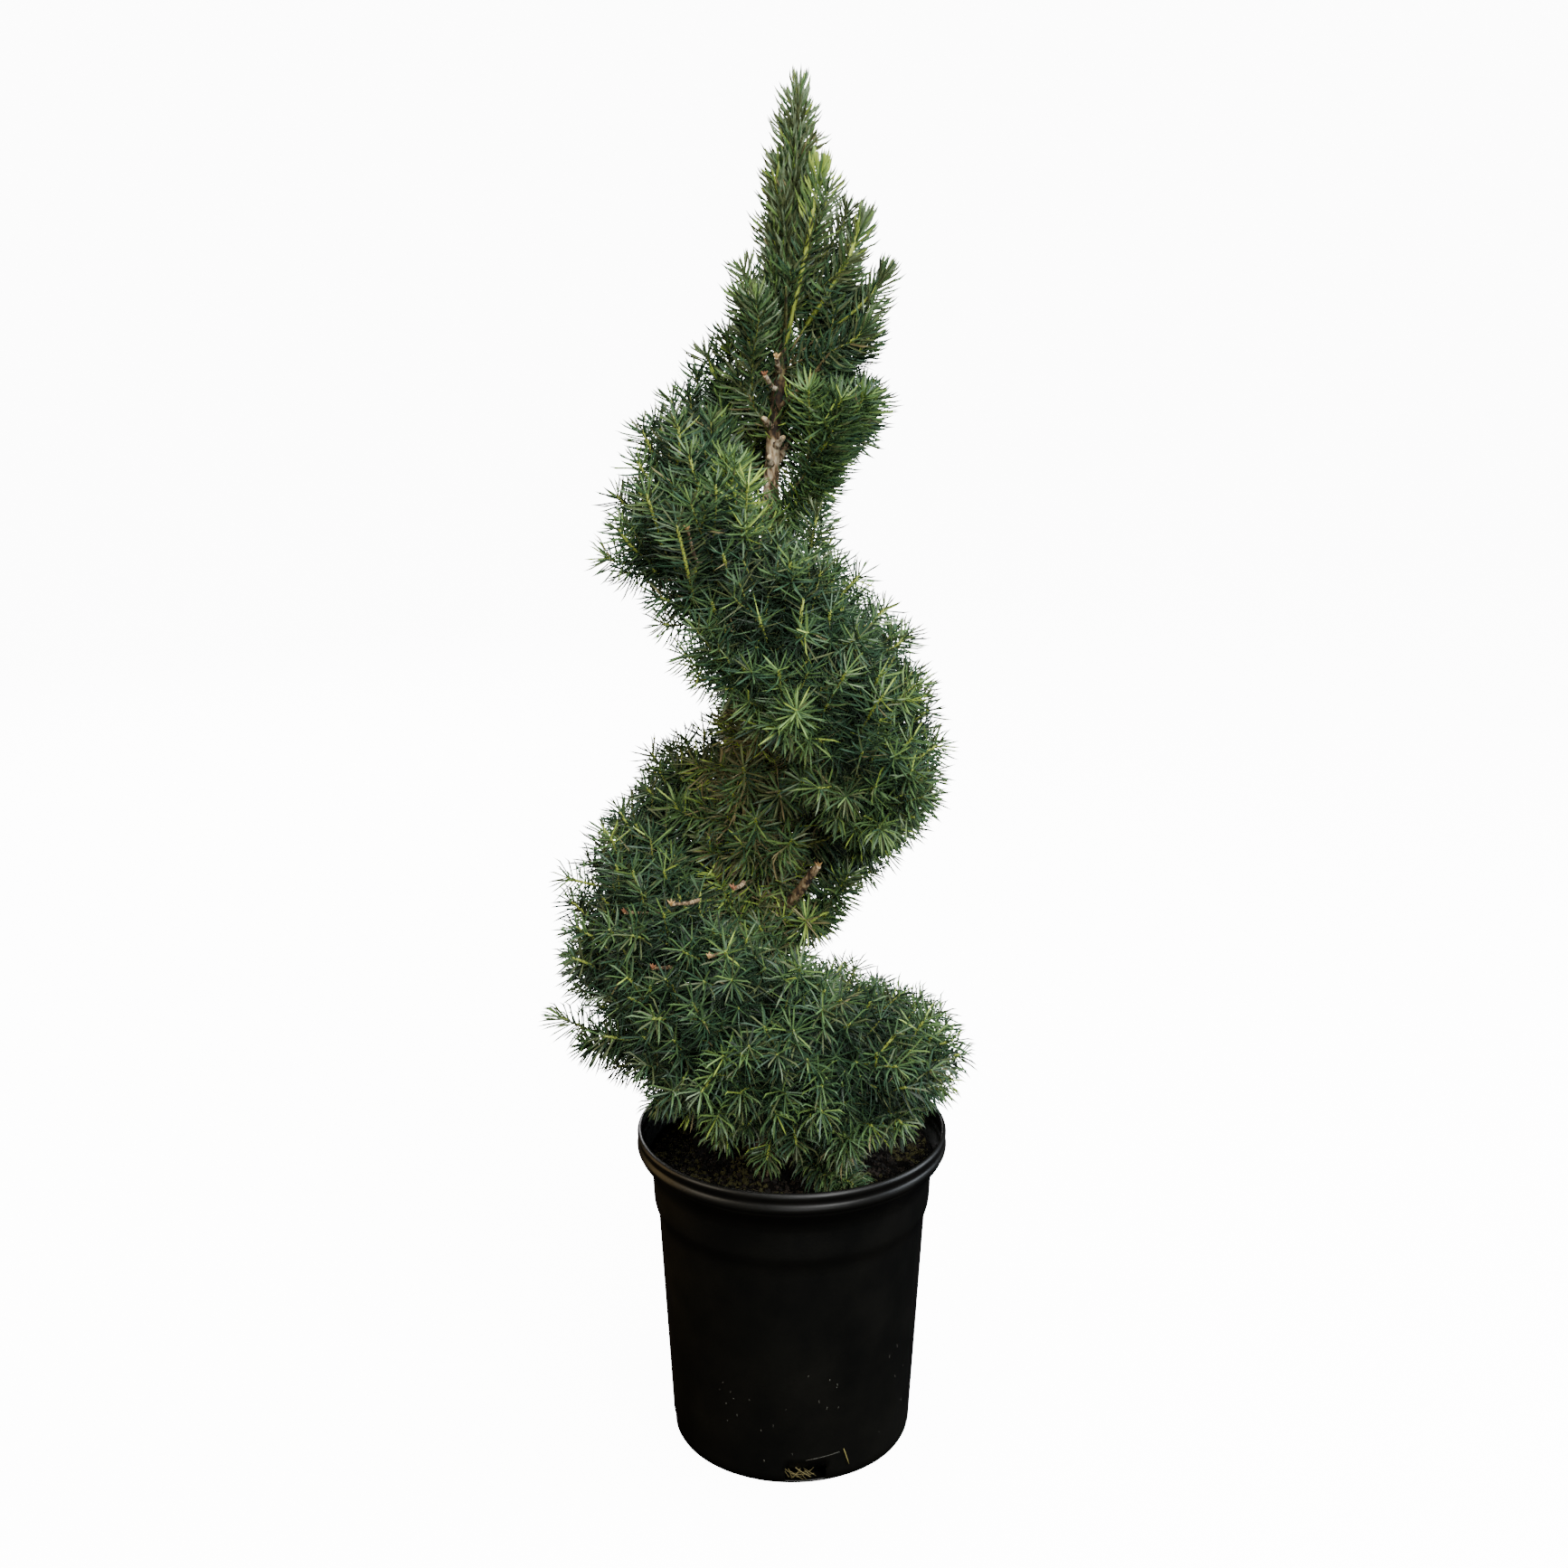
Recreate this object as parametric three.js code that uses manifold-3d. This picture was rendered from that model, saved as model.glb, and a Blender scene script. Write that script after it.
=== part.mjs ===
// A dwarf spruce clipped to a spiral, growing in a black nursery pot.
// Millimetres, +Z up. The origin is the centre of the pot's flat underside, and -Y is the front.
import * as THREE from "three";
import { mergeVertices } from "three/addons/utils/BufferGeometryUtils.js";
import Module from "manifold-3d";

const wasm = await Module();
wasm.setup();

const { clamp, degToRad, lerp } = THREE.MathUtils;

// ---------------------------------------------------------------- driving sizes
const GAP = 0.4; // clear space kept between neighbouring solids

const POT = {
  height: 234,
  rimRadius: 108,
  wall: 1.8,
  footRadius: 81, // outer edge of the flat foot ring
  footInner: 61,
  bossRadius: 20, // a flat boss in the middle of the underside, level with the foot
  recess: 3, // how far the underside is raised between boss and foot
  segments: 32,
};

const DRAIN = {
  holes: 4,
  width: 29,
  bottom: 2.8,
  top: 14,
  reach: 22, // how far each cut goes through the wall
  firstTurn: degToRad(-83.5), // the first hole faces a little right of the front
};

// The soil is a low mound. Its outline is given at shares of the distance from middle to wall.
const SOIL = { level: 211, bottom: 5.4, mound: 2.5, flatShare: 0.35, slopeShare: 0.74 };

// The stem leans left low down, comes back, and its leader swings right above the last tier.
const TRUNK = {
  foot: SOIL.level + SOIL.mound + GAP,
  tip: 921,
  radius: 10.5,
  tipRadius: 0.9,
  flare: 3.4, // extra radius at the root flare
  flareHeight: 14,
  taper: 0.85,
  sides: 8,
  rings: 20,
};

// The clipped crown: its outline is a bulging cone, tucked in over the pot.
const CROWN = {
  top: 950,
  widestHeight: 345,
  widestRadius: 138,
  bulge: 1.5,
  tuck: 2.4,
  lowest: POT.height + 5,
  bare: 0.28, // share of the crown's radius, next to the trunk, that bears no foliage
};

// The foliage runs down round the trunk as one spiral band, anticlockwise as seen from above.
// A turn of 0 is at +X, high on the right. A station stands at every half turn, from the top down,
// with the band's middle height, its half height, and its reach as a share of the crown's radius.
const BAND = {
  firstTurn: -0.5,
  lastTurn: 2.5,
  stations: [
    { middle: 822, halfHeight: 40, reach: 0.62 },
    { middle: 774, halfHeight: 70, reach: 1.06 },
    { middle: 692, halfHeight: 68, reach: 1.2 },
    { middle: 518, halfHeight: 96, reach: 1.0 },
    { middle: 392, halfHeight: 90, reach: 1.01 },
    { middle: 284, halfHeight: 56, reach: 1.03 },
    { middle: 272, halfHeight: 40, reach: 1.02 },
  ],
  masses: 12,
  rings: 8, // sections along each mass
  around: 14, // points round each section
  lumps: 0.09, // how uneven the skin is, as a share of its size
  pinch: 3, // how much each mass draws in at its ends
  leastDepth: 12, // least depth of foliage from its inner side to its edge
  heart: 0.34, // where the section is tallest, as a share of that depth
};

// Upright shoots and low sprays: spindles of foliage along a short straight line, each thickest at
// a share of its length.
const SPINDLES = {
  leader_plume: { from: [-6, -2, 798], to: [3, 0, 932], thick: 25, at: 0.22 },
  second_shoot: { from: [2, -20, 790], to: [25, -14, 884], thick: 13.5, at: 0.45 },
  third_shoot: { from: [16, 6, 765], to: [47, 6, 841], thick: 15, at: 0.45 },
  fourth_shoot: { from: [28, -10, 752], to: [61, -8, 808], thick: 13, at: 0.4 },
  left_top_shoot: { from: [-20, 4, 762], to: [-38, 2, 800], thick: 11, at: 0.4 },
  high_trunk_spray: { from: [2, -10, 664], to: [34, -14, 714], thick: 15, at: 0.4 },
  low_trunk_spray: { from: [2, -14, 372], to: [42, -20, 430], thick: 17, at: 0.4 },
  low_left_spray: { from: [-104, -42, 296], to: [-166, -34, 336], thick: 14, at: 0.3 },
  low_front_spray: { from: [8, -58, 229], to: [48, -84, 226], thick: 8, at: 0.5 },
};
const SPINDLE_MESH = { sides: 10, rings: 6, bluntness: 0.04 };

// Boughs leave the trunk along the band, every other one low and the rest nearer its middle.
const BOUGH = {
  count: 22,
  firstTurn: -0.3,
  lowStart: 0.9, // start below the band's middle, as a share of its half height
  midStart: 0.45,
  rise: degToRad(38),
  reach: 0.55, // share of the crown's radius that a bough grows out to
  thick: 3.3,
  thin: 2.3,
  sides: 5,
  rings: 3,
};

// ---------------------------------------------------------------- materials
function material(colour, roughness) {
  return new THREE.MeshStandardMaterial({ color: colour, roughness, metalness: 0 });
}

const PLASTIC = material(0x17191a, 0.42);
const BARK_MIX = material(0x1d1712, 0.95);
const BARK = material(0x6b5847, 0.9);
const NEEDLES = material(0x2f4a2b, 0.75);

// ---------------------------------------------------------------- small helpers
// A smooth uneven value from -1 to 1. It repeats round the section's angle, and never along the other.
function unevenness(along, angle) {
  const waves =
    Math.sin(2.7 * along + angle) +
    0.8 * Math.sin(5.3 * along - 2 * angle + 1.3) +
    0.6 * Math.sin(8.9 * along + 3 * angle + 4.1);
  return waves / 2.4;
}

function outward(azimuth) {
  return new THREE.Vector3(Math.cos(azimuth), Math.sin(azimuth), 0);
}

// A closed surface from rings of points, each ring running anticlockwise seen from the next one.
function closedRings(rings) {
  const around = rings[0].length;
  const positions = rings.flat().flatMap((p) => [p.x, p.y, p.z]);
  const index = [];
  for (let i = 0; i + 1 < rings.length; i++) {
    for (let j = 0; j < around; j++) {
      const k = (j + 1) % around;
      const [a, b] = [i * around + j, i * around + k];
      const [c, d] = [a + around, b + around];
      index.push(a, b, c, b, d, c);
    }
  }
  for (const [ring, forward] of [[0, false], [rings.length - 1, true]]) {
    const middle = positions.length / 3;
    const centre = rings[ring].reduce((sum, p) => sum.add(p), new THREE.Vector3()).divideScalar(around);
    positions.push(centre.x, centre.y, centre.z);
    for (let j = 0; j < around; j++) {
      const [a, b] = [ring * around + j, ring * around + ((j + 1) % around)];
      index.push(...(forward ? [a, b, middle] : [b, a, middle]));
    }
  }
  const geometry = new THREE.BufferGeometry();
  geometry.setAttribute("position", new THREE.Float32BufferAttribute(positions, 3));
  geometry.setIndex(index);
  return geometry;
}

// A round limb that tapers along a curve. radiusAt gives its radius at a share of its length.
function limb(curve, radiusAt, sides, ringCount) {
  const rings = [];
  for (let i = 0; i <= ringCount; i++) {
    const t = i / ringCount;
    const along = curve.getTangent(t);
    const side = new THREE.Vector3(0, 1, 0).cross(along).normalize();
    const up = along.clone().cross(side);
    const centre = curve.getPoint(t);
    const ring = [];
    for (let j = 0; j < sides; j++) {
      const a = (2 * Math.PI * j) / sides;
      const out = side.clone().multiplyScalar(Math.cos(a)).addScaledVector(up, Math.sin(a));
      ring.push(centre.clone().addScaledVector(out, radiusAt(t)));
    }
    rings.push(ring);
  }
  return closedRings(rings);
}

function solid(geometry) {
  const bare = geometry.clone();
  bare.deleteAttribute("normal");
  bare.deleteAttribute("uv");
  const merged = mergeVertices(bare, 1e-3);
  return new wasm.Manifold(
    new wasm.Mesh({
      numProp: 3,
      vertProperties: merged.attributes.position.array,
      triVerts: new Uint32Array(merged.index.array),
    }),
  );
}

function geometryOf(manifold) {
  const mesh = manifold.getMesh();
  const geometry = new THREE.BufferGeometry();
  geometry.setAttribute("position", new THREE.BufferAttribute(mesh.vertProperties, 3));
  geometry.setIndex(new THREE.BufferAttribute(mesh.triVerts, 1));
  return geometry;
}

// A solid of revolution about Z from its profile of [radius, height] points.
function turned(profile, segments) {
  const points = profile.map(([r, z]) => new THREE.Vector2(r, z));
  return new THREE.LatheGeometry(points, segments).rotateX(Math.PI / 2);
}

function numbered(name, i) {
  return `${name}_${String(i + 1).padStart(2, "0")}`;
}

// ---------------------------------------------------------------- pot and soil
// The outside of the wall, from the foot's edge up to the rim's top.
const POT_OUTSIDE = [
  [POT.footRadius, 0],
  [POT.footRadius + 2.6, 1.2],
  [POT.footRadius + 4, 5],
  [93.6, 168], // the long tapered wall ends here
  [96.8, 182], // the step under the collar
  [97.6, 198],
  [99, 205],
  [103.2, 213], // the flare up to the rim
  [106.6, 218.5],
  [POT.rimRadius, 222.5], // the rim's lower bead
  [POT.rimRadius - 0.5, 231],
  [POT.rimRadius - 2, POT.height],
];

function potWallInside() {
  const slanted = POT_OUTSIDE.slice(2, -2).map(([r, z]) => [r - POT.wall, z]);
  return [...slanted, [POT.rimRadius - 4, POT.height]].reverse();
}

function potSolid() {
  const underside = [
    [0, 0],
    [POT.bossRadius, 0],
    [POT.bossRadius + POT.recess, POT.recess],
    [POT.footInner - POT.recess, POT.recess],
    [POT.footInner, 0],
  ];
  const floor = [
    [POT.footRadius - 1, POT.wall],
    [POT.footInner + 0.5, POT.wall],
    [POT.footInner - POT.recess + 0.5, POT.recess + POT.wall],
    [0, POT.recess + POT.wall],
  ];
  const profile = [...underside, ...POT_OUTSIDE, ...potWallInside(), ...floor];
  let pot = solid(turned(profile, POT.segments));
  for (let i = 0; i < DRAIN.holes; i++) {
    const cut = new THREE.BoxGeometry(DRAIN.reach, DRAIN.width, DRAIN.top - DRAIN.bottom);
    cut.translate(POT.footRadius + 4, 0, (DRAIN.top + DRAIN.bottom) / 2);
    cut.rotateZ(DRAIN.firstTurn + (i * 2 * Math.PI) / DRAIN.holes);
    pot = pot.subtract(solid(cut));
  }
  return pot;
}

function soilSolid() {
  const wall = POT_OUTSIDE.filter(([, z]) => z > SOIL.bottom && z < SOIL.level);
  const side = wall.map(([r, z]) => [r - POT.wall - GAP, z]);
  const [edge] = side[side.length - 1];
  const profile = [
    [0, SOIL.bottom],
    [POT.footRadius - 1, SOIL.bottom],
    ...side,
    [edge, SOIL.level - 2],
    [edge * SOIL.slopeShare, SOIL.level + 1],
    [edge * SOIL.flatShare, SOIL.level + SOIL.mound],
    [0, SOIL.level + SOIL.mound],
  ];
  return solid(turned(profile, POT.segments));
}

// ---------------------------------------------------------------- trunk
const trunkCurve = new THREE.CatmullRomCurve3(
  [
    [-11, 0, TRUNK.foot],
    [-12, 0, TRUNK.foot + TRUNK.flareHeight],
    [-17, 2, 395],
    [-14, -1, 560],
    [-13, 0, 700],
    [-7, -2, 760],
    [0, -2, 850],
    [4, 0, TRUNK.tip],
  ].map(([x, y, z]) => new THREE.Vector3(x, y, z)),
);
const trunkPoints = trunkCurve.getPoints(200);

// The trunk's centre at a height.
function trunkAt(z) {
  const above = trunkPoints.findIndex((p) => p.z >= z);
  return trunkPoints[above < 0 ? trunkPoints.length - 1 : above];
}

function trunkRadius(z) {
  const share = clamp((z - TRUNK.foot) / (TRUNK.tip - TRUNK.foot), 0, 1);
  const stem = lerp(TRUNK.tipRadius, TRUNK.radius, (1 - share) ** TRUNK.taper);
  return stem + TRUNK.flare * Math.exp(-(z - TRUNK.foot) / TRUNK.flareHeight);
}

// The rings lie level, so the foot is a flat cut on the soil.
function trunkSolid(grow) {
  const rings = [];
  for (let i = 0; i <= TRUNK.rings; i++) {
    const centre = trunkCurve.getPoint(i / TRUNK.rings);
    const ring = [];
    for (let j = 0; j < TRUNK.sides; j++) {
      const out = outward((2 * Math.PI * j) / TRUNK.sides);
      ring.push(centre.clone().addScaledVector(out, trunkRadius(centre.z) + grow));
    }
    rings.push(ring);
  }
  return solid(closedRings(rings));
}

// ---------------------------------------------------------------- the spiral band
const bandStations = new THREE.CatmullRomCurve3(
  BAND.stations.map(({ middle, halfHeight, reach }) => new THREE.Vector3(middle, halfHeight, reach)),
  false,
  "catmullrom",
);

function bandAt(turn) {
  const share = (turn - BAND.firstTurn) / (BAND.lastTurn - BAND.firstTurn);
  const { x: middle, y: halfHeight, z: reach } = bandStations.getPoint(clamp(share, 0, 1));
  return { middle, halfHeight, reach };
}

// The radius that the shears leave at a height, measured from the trunk.
function crownRadius(z) {
  if (z > CROWN.widestHeight) {
    const up = clamp((z - CROWN.widestHeight) / (CROWN.top - CROWN.widestHeight), 0, 1);
    return CROWN.widestRadius * (1 - up ** CROWN.bulge);
  }
  return CROWN.widestRadius * (1 - CROWN.tuck * (1 - z / CROWN.widestHeight) ** 2);
}

// A point on the band's skin. An angle of 0 is its outer edge, and a quarter turn is its top.
function bandPoint(turn, angle, grow) {
  const azimuth = 2 * Math.PI * turn;
  const { middle, halfHeight, reach } = bandAt(turn);
  const lump = 1 + BAND.lumps * unevenness(azimuth, angle);
  const free = middle + (halfHeight * lump + grow) * Math.sin(angle);
  const z = Math.max(free, CROWN.lowest - grow);
  const inner = trunkRadius(z) + CROWN.bare * crownRadius(z);
  const edge = Math.max(crownRadius(z) * reach * lump, inner + BAND.leastDepth);
  const heart = lerp(inner, edge, BAND.heart);
  const depth = angleIsOuter(angle) ? edge - heart : heart - inner;
  const radius = heart + (depth + grow) * Math.cos(angle);
  return trunkAt(z).clone().setZ(z).addScaledVector(outward(azimuth), radius);
}

function angleIsOuter(angle) {
  return Math.cos(angle) > 0;
}

// One stretch of the band. Its two ends are flat, and stand half a gap back from its neighbours'.
function bandMass(number, grow) {
  const step = (BAND.lastTurn - BAND.firstTurn) / BAND.masses;
  const rings = [];
  for (let i = 0; i < BAND.rings; i++) {
    const share = i / (BAND.rings - 1);
    const turn = BAND.firstTurn + (number + share) * step;
    const pinch = BAND.pinch * (2 * share - 1) ** 6;
    const onward = outward(2 * Math.PI * (turn + 0.25));
    const inset = (0.5 * GAP - grow) * ((share === 0) - (share === 1));
    const ring = [];
    for (let j = 0; j < BAND.around; j++) {
      const angle = (-2 * Math.PI * j) / BAND.around;
      ring.push(bandPoint(turn, angle, grow - pinch).addScaledVector(onward, inset));
    }
    rings.push(ring);
  }
  return solid(closedRings(rings));
}

// ---------------------------------------------------------------- shoots, sprays and boughs
function spindle({ from, to, thick, at }, grow, seed) {
  const [a, b] = [from, to].map((p) => new THREE.Vector3(...p));
  const along = b.clone().sub(a).normalize();
  const line = new THREE.LineCurve3(a.addScaledVector(along, -grow), b.addScaledVector(along, grow));
  const radius = (t) => {
    const share = t < at ? t / at : (1 - t) / (1 - at);
    const lump = 1 + BAND.lumps * unevenness(6 * t, seed);
    return thick * Math.sqrt(Math.max(share, SPINDLE_MESH.bluntness)) * lump + grow;
  };
  return solid(limb(line, radius, SPINDLE_MESH.sides, SPINDLE_MESH.rings));
}

function boughSolid(turn, startShare, grow) {
  const { middle, halfHeight } = bandAt(turn);
  const z = Math.max(middle - halfHeight * startShare, TRUNK.foot + TRUNK.flareHeight);
  const start = trunkAt(z).clone().setZ(z);
  const reach = BOUGH.reach * crownRadius(middle);
  const end = start.clone().addScaledVector(outward(2 * Math.PI * turn), reach);
  end.z += reach * Math.tan(BOUGH.rise);
  const bend = start.clone().lerp(end, 0.45).setZ(lerp(start.z, end.z, 0.34));
  const curve = new THREE.QuadraticBezierCurve3(start, bend, end);
  const radius = (t) => lerp(BOUGH.thick, BOUGH.thin, t) + grow;
  return solid(limb(curve, radius, BOUGH.sides, BOUGH.rings));
}

// ---------------------------------------------------------------- assembly
const plant = new THREE.Group();

function add(name, manifold, look) {
  const mesh = new THREE.Mesh(geometryOf(manifold), look);
  mesh.name = name;
  plant.add(mesh);
}

add("pot", potSolid(), PLASTIC);
add("potting_soil", soilSolid(), BARK_MIX);
add("trunk", trunkSolid(0), BARK);

// The space that each solid takes with its gap, which later solids are cut to keep out of.
const rooms = [trunkSolid(GAP)];

function cutClear(manifold, others) {
  return others.reduce((left, room) => left.subtract(room), manifold).decompose();
}

function addFoliage(name, make, others) {
  const [largest] = cutClear(make(0), others).sort((a, b) => b.volume() - a.volume());
  add(name, largest, NEEDLES);
  rooms.push(make(GAP));
}

Object.entries(SPINDLES).forEach(([name, shape], i) => {
  addFoliage(name, (grow) => spindle(shape, grow, i), rooms);
});
for (let i = 0; i < BAND.masses; i++) {
  // The flat ends already stand clear of the mass before, so only the others cut this one.
  const others = i > 0 ? rooms.slice(0, -1) : rooms;
  addFoliage(numbered("spiral_mass", i), (grow) => bandMass(i, grow), others);
}

// How far a piece's middle is from the trunk's centre line.
function distanceToTrunk(piece) {
  const { min, max } = piece.boundingBox();
  const [x, y, z] = [0, 1, 2].map((k) => (min[k] + max[k]) / 2);
  const centre = trunkAt(z);
  return Math.hypot(x - centre.x, y - centre.y);
}

// Each bough keeps only the limb from the trunk to where it enters a mass.
for (let i = 0; i < BOUGH.count; i++) {
  const turn = lerp(BOUGH.firstTurn, BAND.lastTurn, (i + 0.5) / BOUGH.count);
  const startShare = i % 2 ? BOUGH.lowStart : BOUGH.midStart;
  const pieces = cutClear(boughSolid(turn, startShare, 0), rooms);
  const [limbToMass] = pieces.sort((a, b) => distanceToTrunk(a) - distanceToTrunk(b));
  add(numbered("bough", i), limbToMass, BARK);
  rooms.push(boughSolid(turn, startShare, GAP));
}

export default plant;
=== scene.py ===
"""The looks of a dwarf spruce clipped to a spiral, growing in a black nursery pot.

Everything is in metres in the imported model's own frame. The crown's solids say where foliage may
be. Twigs and shoots grow out to fill that space from the trunk and the boughs, by a seeded
branching rule, and needles are set round every shoot.
"""

import logging
import math
from dataclasses import dataclass, field, fields
from enum import Enum

import bpy
import numpy as np
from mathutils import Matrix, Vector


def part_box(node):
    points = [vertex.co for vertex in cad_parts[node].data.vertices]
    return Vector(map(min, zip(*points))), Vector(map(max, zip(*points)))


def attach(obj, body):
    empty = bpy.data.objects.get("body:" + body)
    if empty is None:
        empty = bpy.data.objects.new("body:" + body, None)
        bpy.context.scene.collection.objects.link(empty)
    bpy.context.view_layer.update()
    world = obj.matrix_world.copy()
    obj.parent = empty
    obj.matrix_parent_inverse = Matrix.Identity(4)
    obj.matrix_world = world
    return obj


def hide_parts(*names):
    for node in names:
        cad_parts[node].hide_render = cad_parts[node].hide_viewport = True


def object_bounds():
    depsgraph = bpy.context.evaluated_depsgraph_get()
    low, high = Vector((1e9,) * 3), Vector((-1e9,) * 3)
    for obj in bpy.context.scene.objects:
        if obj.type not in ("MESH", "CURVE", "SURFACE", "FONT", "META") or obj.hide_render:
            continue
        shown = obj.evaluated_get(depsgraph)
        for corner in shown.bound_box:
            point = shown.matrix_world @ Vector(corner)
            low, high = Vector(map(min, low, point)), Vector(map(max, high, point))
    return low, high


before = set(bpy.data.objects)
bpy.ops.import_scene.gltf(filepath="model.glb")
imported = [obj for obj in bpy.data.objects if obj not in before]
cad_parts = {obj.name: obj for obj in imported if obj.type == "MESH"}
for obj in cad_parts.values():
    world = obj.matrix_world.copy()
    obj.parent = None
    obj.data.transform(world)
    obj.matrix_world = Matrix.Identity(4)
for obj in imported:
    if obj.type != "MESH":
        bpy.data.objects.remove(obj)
CAD_BOX = [list(corner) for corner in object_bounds()]

LOG = logging.getLogger("spiral_topiary")
Array = np.ndarray
Span = tuple[float, float]
Point = tuple[float, float, float]
Tree = bpy.types.NodeTree
Socket = bpy.types.NodeSocket
Node = bpy.types.Node
MM = 0.001
GOLDEN_ANGLE = math.pi * (3 - math.sqrt(5))
UP = np.array([0.0, 0.0, 1.0])


# ------------------------------ arrays of vectors
def unit(vectors: Array) -> Array:
    """Scale the vectors along the last axis to length one."""
    length = np.linalg.norm(vectors, axis=-1, keepdims=True)
    return vectors / np.maximum(length, 1e-12)


def smooth_step(value: Array, low: float, high: float) -> Array:
    """Rise smoothly from 0 at low to 1 at high, as 3t squared less 2t cubed."""
    t = np.clip((value - low) / (high - low), 0, 1)
    return t * t * (3 - 2 * t)


def frames_along(ways: Array) -> tuple[Array, Array]:
    """Find two directions square to each tangent of many paths.

    Each path keeps one reference axis, the one that its mean direction leans on least, so the
    frames don't twist along it: side is tangent cross axis, and over is tangent cross side.

    Args:
        ways: Unit tangents, shaped (paths, points, 3).

    Returns:
        The side and over directions, shaped as the tangents.
    """
    mean = unit(ways.mean(axis=1))
    axis = np.eye(3)[np.abs(mean).argmin(axis=1)][:, None, :]
    side = unit(np.cross(ways, np.broadcast_to(axis, ways.shape)))
    return side, np.cross(ways, side)


def around(angle: Array, radius: Array | float = 1.0, height: Array | float = 0.0) -> Array:
    """Find points round Z: radius times the cosine and the sine of each angle, at a height."""
    parts = np.broadcast_arrays(radius * np.cos(angle), radius * np.sin(angle), height)
    return np.stack(parts, axis=-1)


def between(span: Span, shares: Array) -> Array:
    """Find the values at shares of a span."""
    return span[0] + (span[1] - span[0]) * shares


def numbered(count: Array) -> tuple[Array, Array]:
    """List the members of groups of given counts: the group of each, and its number in it from 0."""
    group = np.repeat(np.arange(len(count)), count)
    return group, np.arange(count.sum()) - np.repeat(np.cumsum(count) - count, count)


def hashed(cells: Array, seed: int) -> Array:
    """Give each whole-numbered cell a fixed value from 0 to 1.

    Args:
        cells: Cell numbers, shaped (n, 3).
        seed: A number that picks another set of values.

    Returns:
        One value for each cell.
    """
    x, y, z = (cells[..., k].astype(np.int64) for k in range(3))
    mixed = (x * 73856093) ^ (y * 19349663) ^ (z * 83492791) ^ (seed * 265443577)
    mixed = ((mixed ^ (mixed >> 13)) * 1274126177) & 0xFFFFFFFF
    return ((mixed ^ (mixed >> 15)) & 0xFFFF) / 65535.0


def noise(points: Array, size: float, seed: int) -> Array:
    """Smooth uneven values from -1 to 1: hashed cell corners, blended by a cubic across each cell.

    Args:
        points: Places, with x, y and z along the last axis.
        size: Width of a cell, in the points' unit.
        seed: A number that picks another pattern.

    Returns:
        One value for each place.
    """
    scaled = np.asarray(points, float) / size
    cell = np.floor(scaled)
    share = scaled - cell
    share = share * share * (3 - 2 * share)
    total = np.zeros(scaled.shape[:-1])
    for corner in np.ndindex(2, 2, 2):
        corner_share = np.where(np.array(corner) == 1, share, 1 - share)
        total += corner_share.prod(axis=-1) * hashed(cell + corner, seed)
    return 2 * total - 1


def bezier(control: Array, shares: Array) -> tuple[Array, Array]:
    """Evaluate many cubic Bezier curves, the usual sum of four points with Bernstein weights.

    Args:
        control: Control points, shaped (curves, 4, 3).
        shares: Places along the curves, shaped (curves, samples), from 0 to 1.

    Returns:
        The points and unit tangents, each shaped (curves, samples, 3).
    """
    t = shares[..., None]
    a, b, c, d = (control[:, k, None, :] for k in range(4))
    points = (1 - t) ** 3 * a + 3 * (1 - t) ** 2 * t * b + 3 * (1 - t) * t**2 * c + t**3 * d
    ways = (1 - t) ** 2 * (b - a) + 2 * (1 - t) * t * (c - b) + t**2 * (d - c)
    return points, unit(ways)


# ------------------------------ meshes
@dataclass
class MeshParts:
    """Points and faces of one mesh, gathered from several arrays."""

    points: list[Array] = field(default_factory=list)
    faces: list[Array] = field(default_factory=list)
    count: int = 0

    def add(self, points: Array, *faces: Array) -> None:
        """Add points with faces that number them from 0.

        Args:
            points: Places, in any shape that ends in 3.
            faces: Arrays of corners, one row for each face of three or four corners.
        """
        flat = points.reshape(-1, 3)
        self.points.append(flat)
        self.faces.extend(face.reshape(-1, face.shape[-1]) + self.count for face in faces)
        self.count += len(flat)

    def build(self, name: str, smooth: bool = True) -> bpy.types.Object:
        """Make the Blender object and link it to the scene.

        Args:
            name: The piece's name.
            smooth: Whether faces shade as a rounded surface.

        Returns:
            The new object, at the origin.
        """
        points = np.concatenate(self.points).astype(np.float32)
        corners = np.concatenate([face.ravel() for face in self.faces]).astype(np.int32)
        sizes = np.concatenate([np.full(len(face), face.shape[1]) for face in self.faces])
        starts = np.concatenate([[0], np.cumsum(sizes)[:-1]]).astype(np.int32)
        mesh = bpy.data.meshes.new(name)
        mesh.vertices.add(len(points))
        mesh.vertices.foreach_set("co", points.ravel())
        mesh.loops.add(len(corners))
        mesh.loops.foreach_set("vertex_index", corners)
        mesh.polygons.add(len(sizes))
        mesh.polygons.foreach_set("loop_start", starts)
        mesh.update(calc_edges=True)
        mesh.polygons.foreach_set("use_smooth", np.full(len(sizes), smooth))
        mesh.update()
        piece = bpy.data.objects.new(name, mesh)
        bpy.context.scene.collection.objects.link(piece)
        return piece


def wall_faces(rings: int, sides: int) -> tuple[Array, Array]:
    """Number the faces of a closed wall of rings, whose two end points come after the rings.

    Args:
        rings: Number of rings.
        sides: Number of points in a ring.

    Returns:
        Quads shaped (rings - 1, sides, 4), and the triangles of the fans at the foot and the tip.
    """
    here = np.arange(sides)
    onward = (here + 1) % sides
    row = (np.arange(rings - 1) * sides)[:, None]
    quads = np.stack([row + here, row + onward, row + onward + sides, row + here + sides], axis=-1)
    last = (rings - 1) * sides
    foot = np.stack([onward, here, np.full(sides, rings * sides)], axis=-1)
    tip = np.stack([last + here, last + onward, np.full(sides, rings * sides + 1)], axis=-1)
    return quads, np.concatenate([foot, tip])


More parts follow.
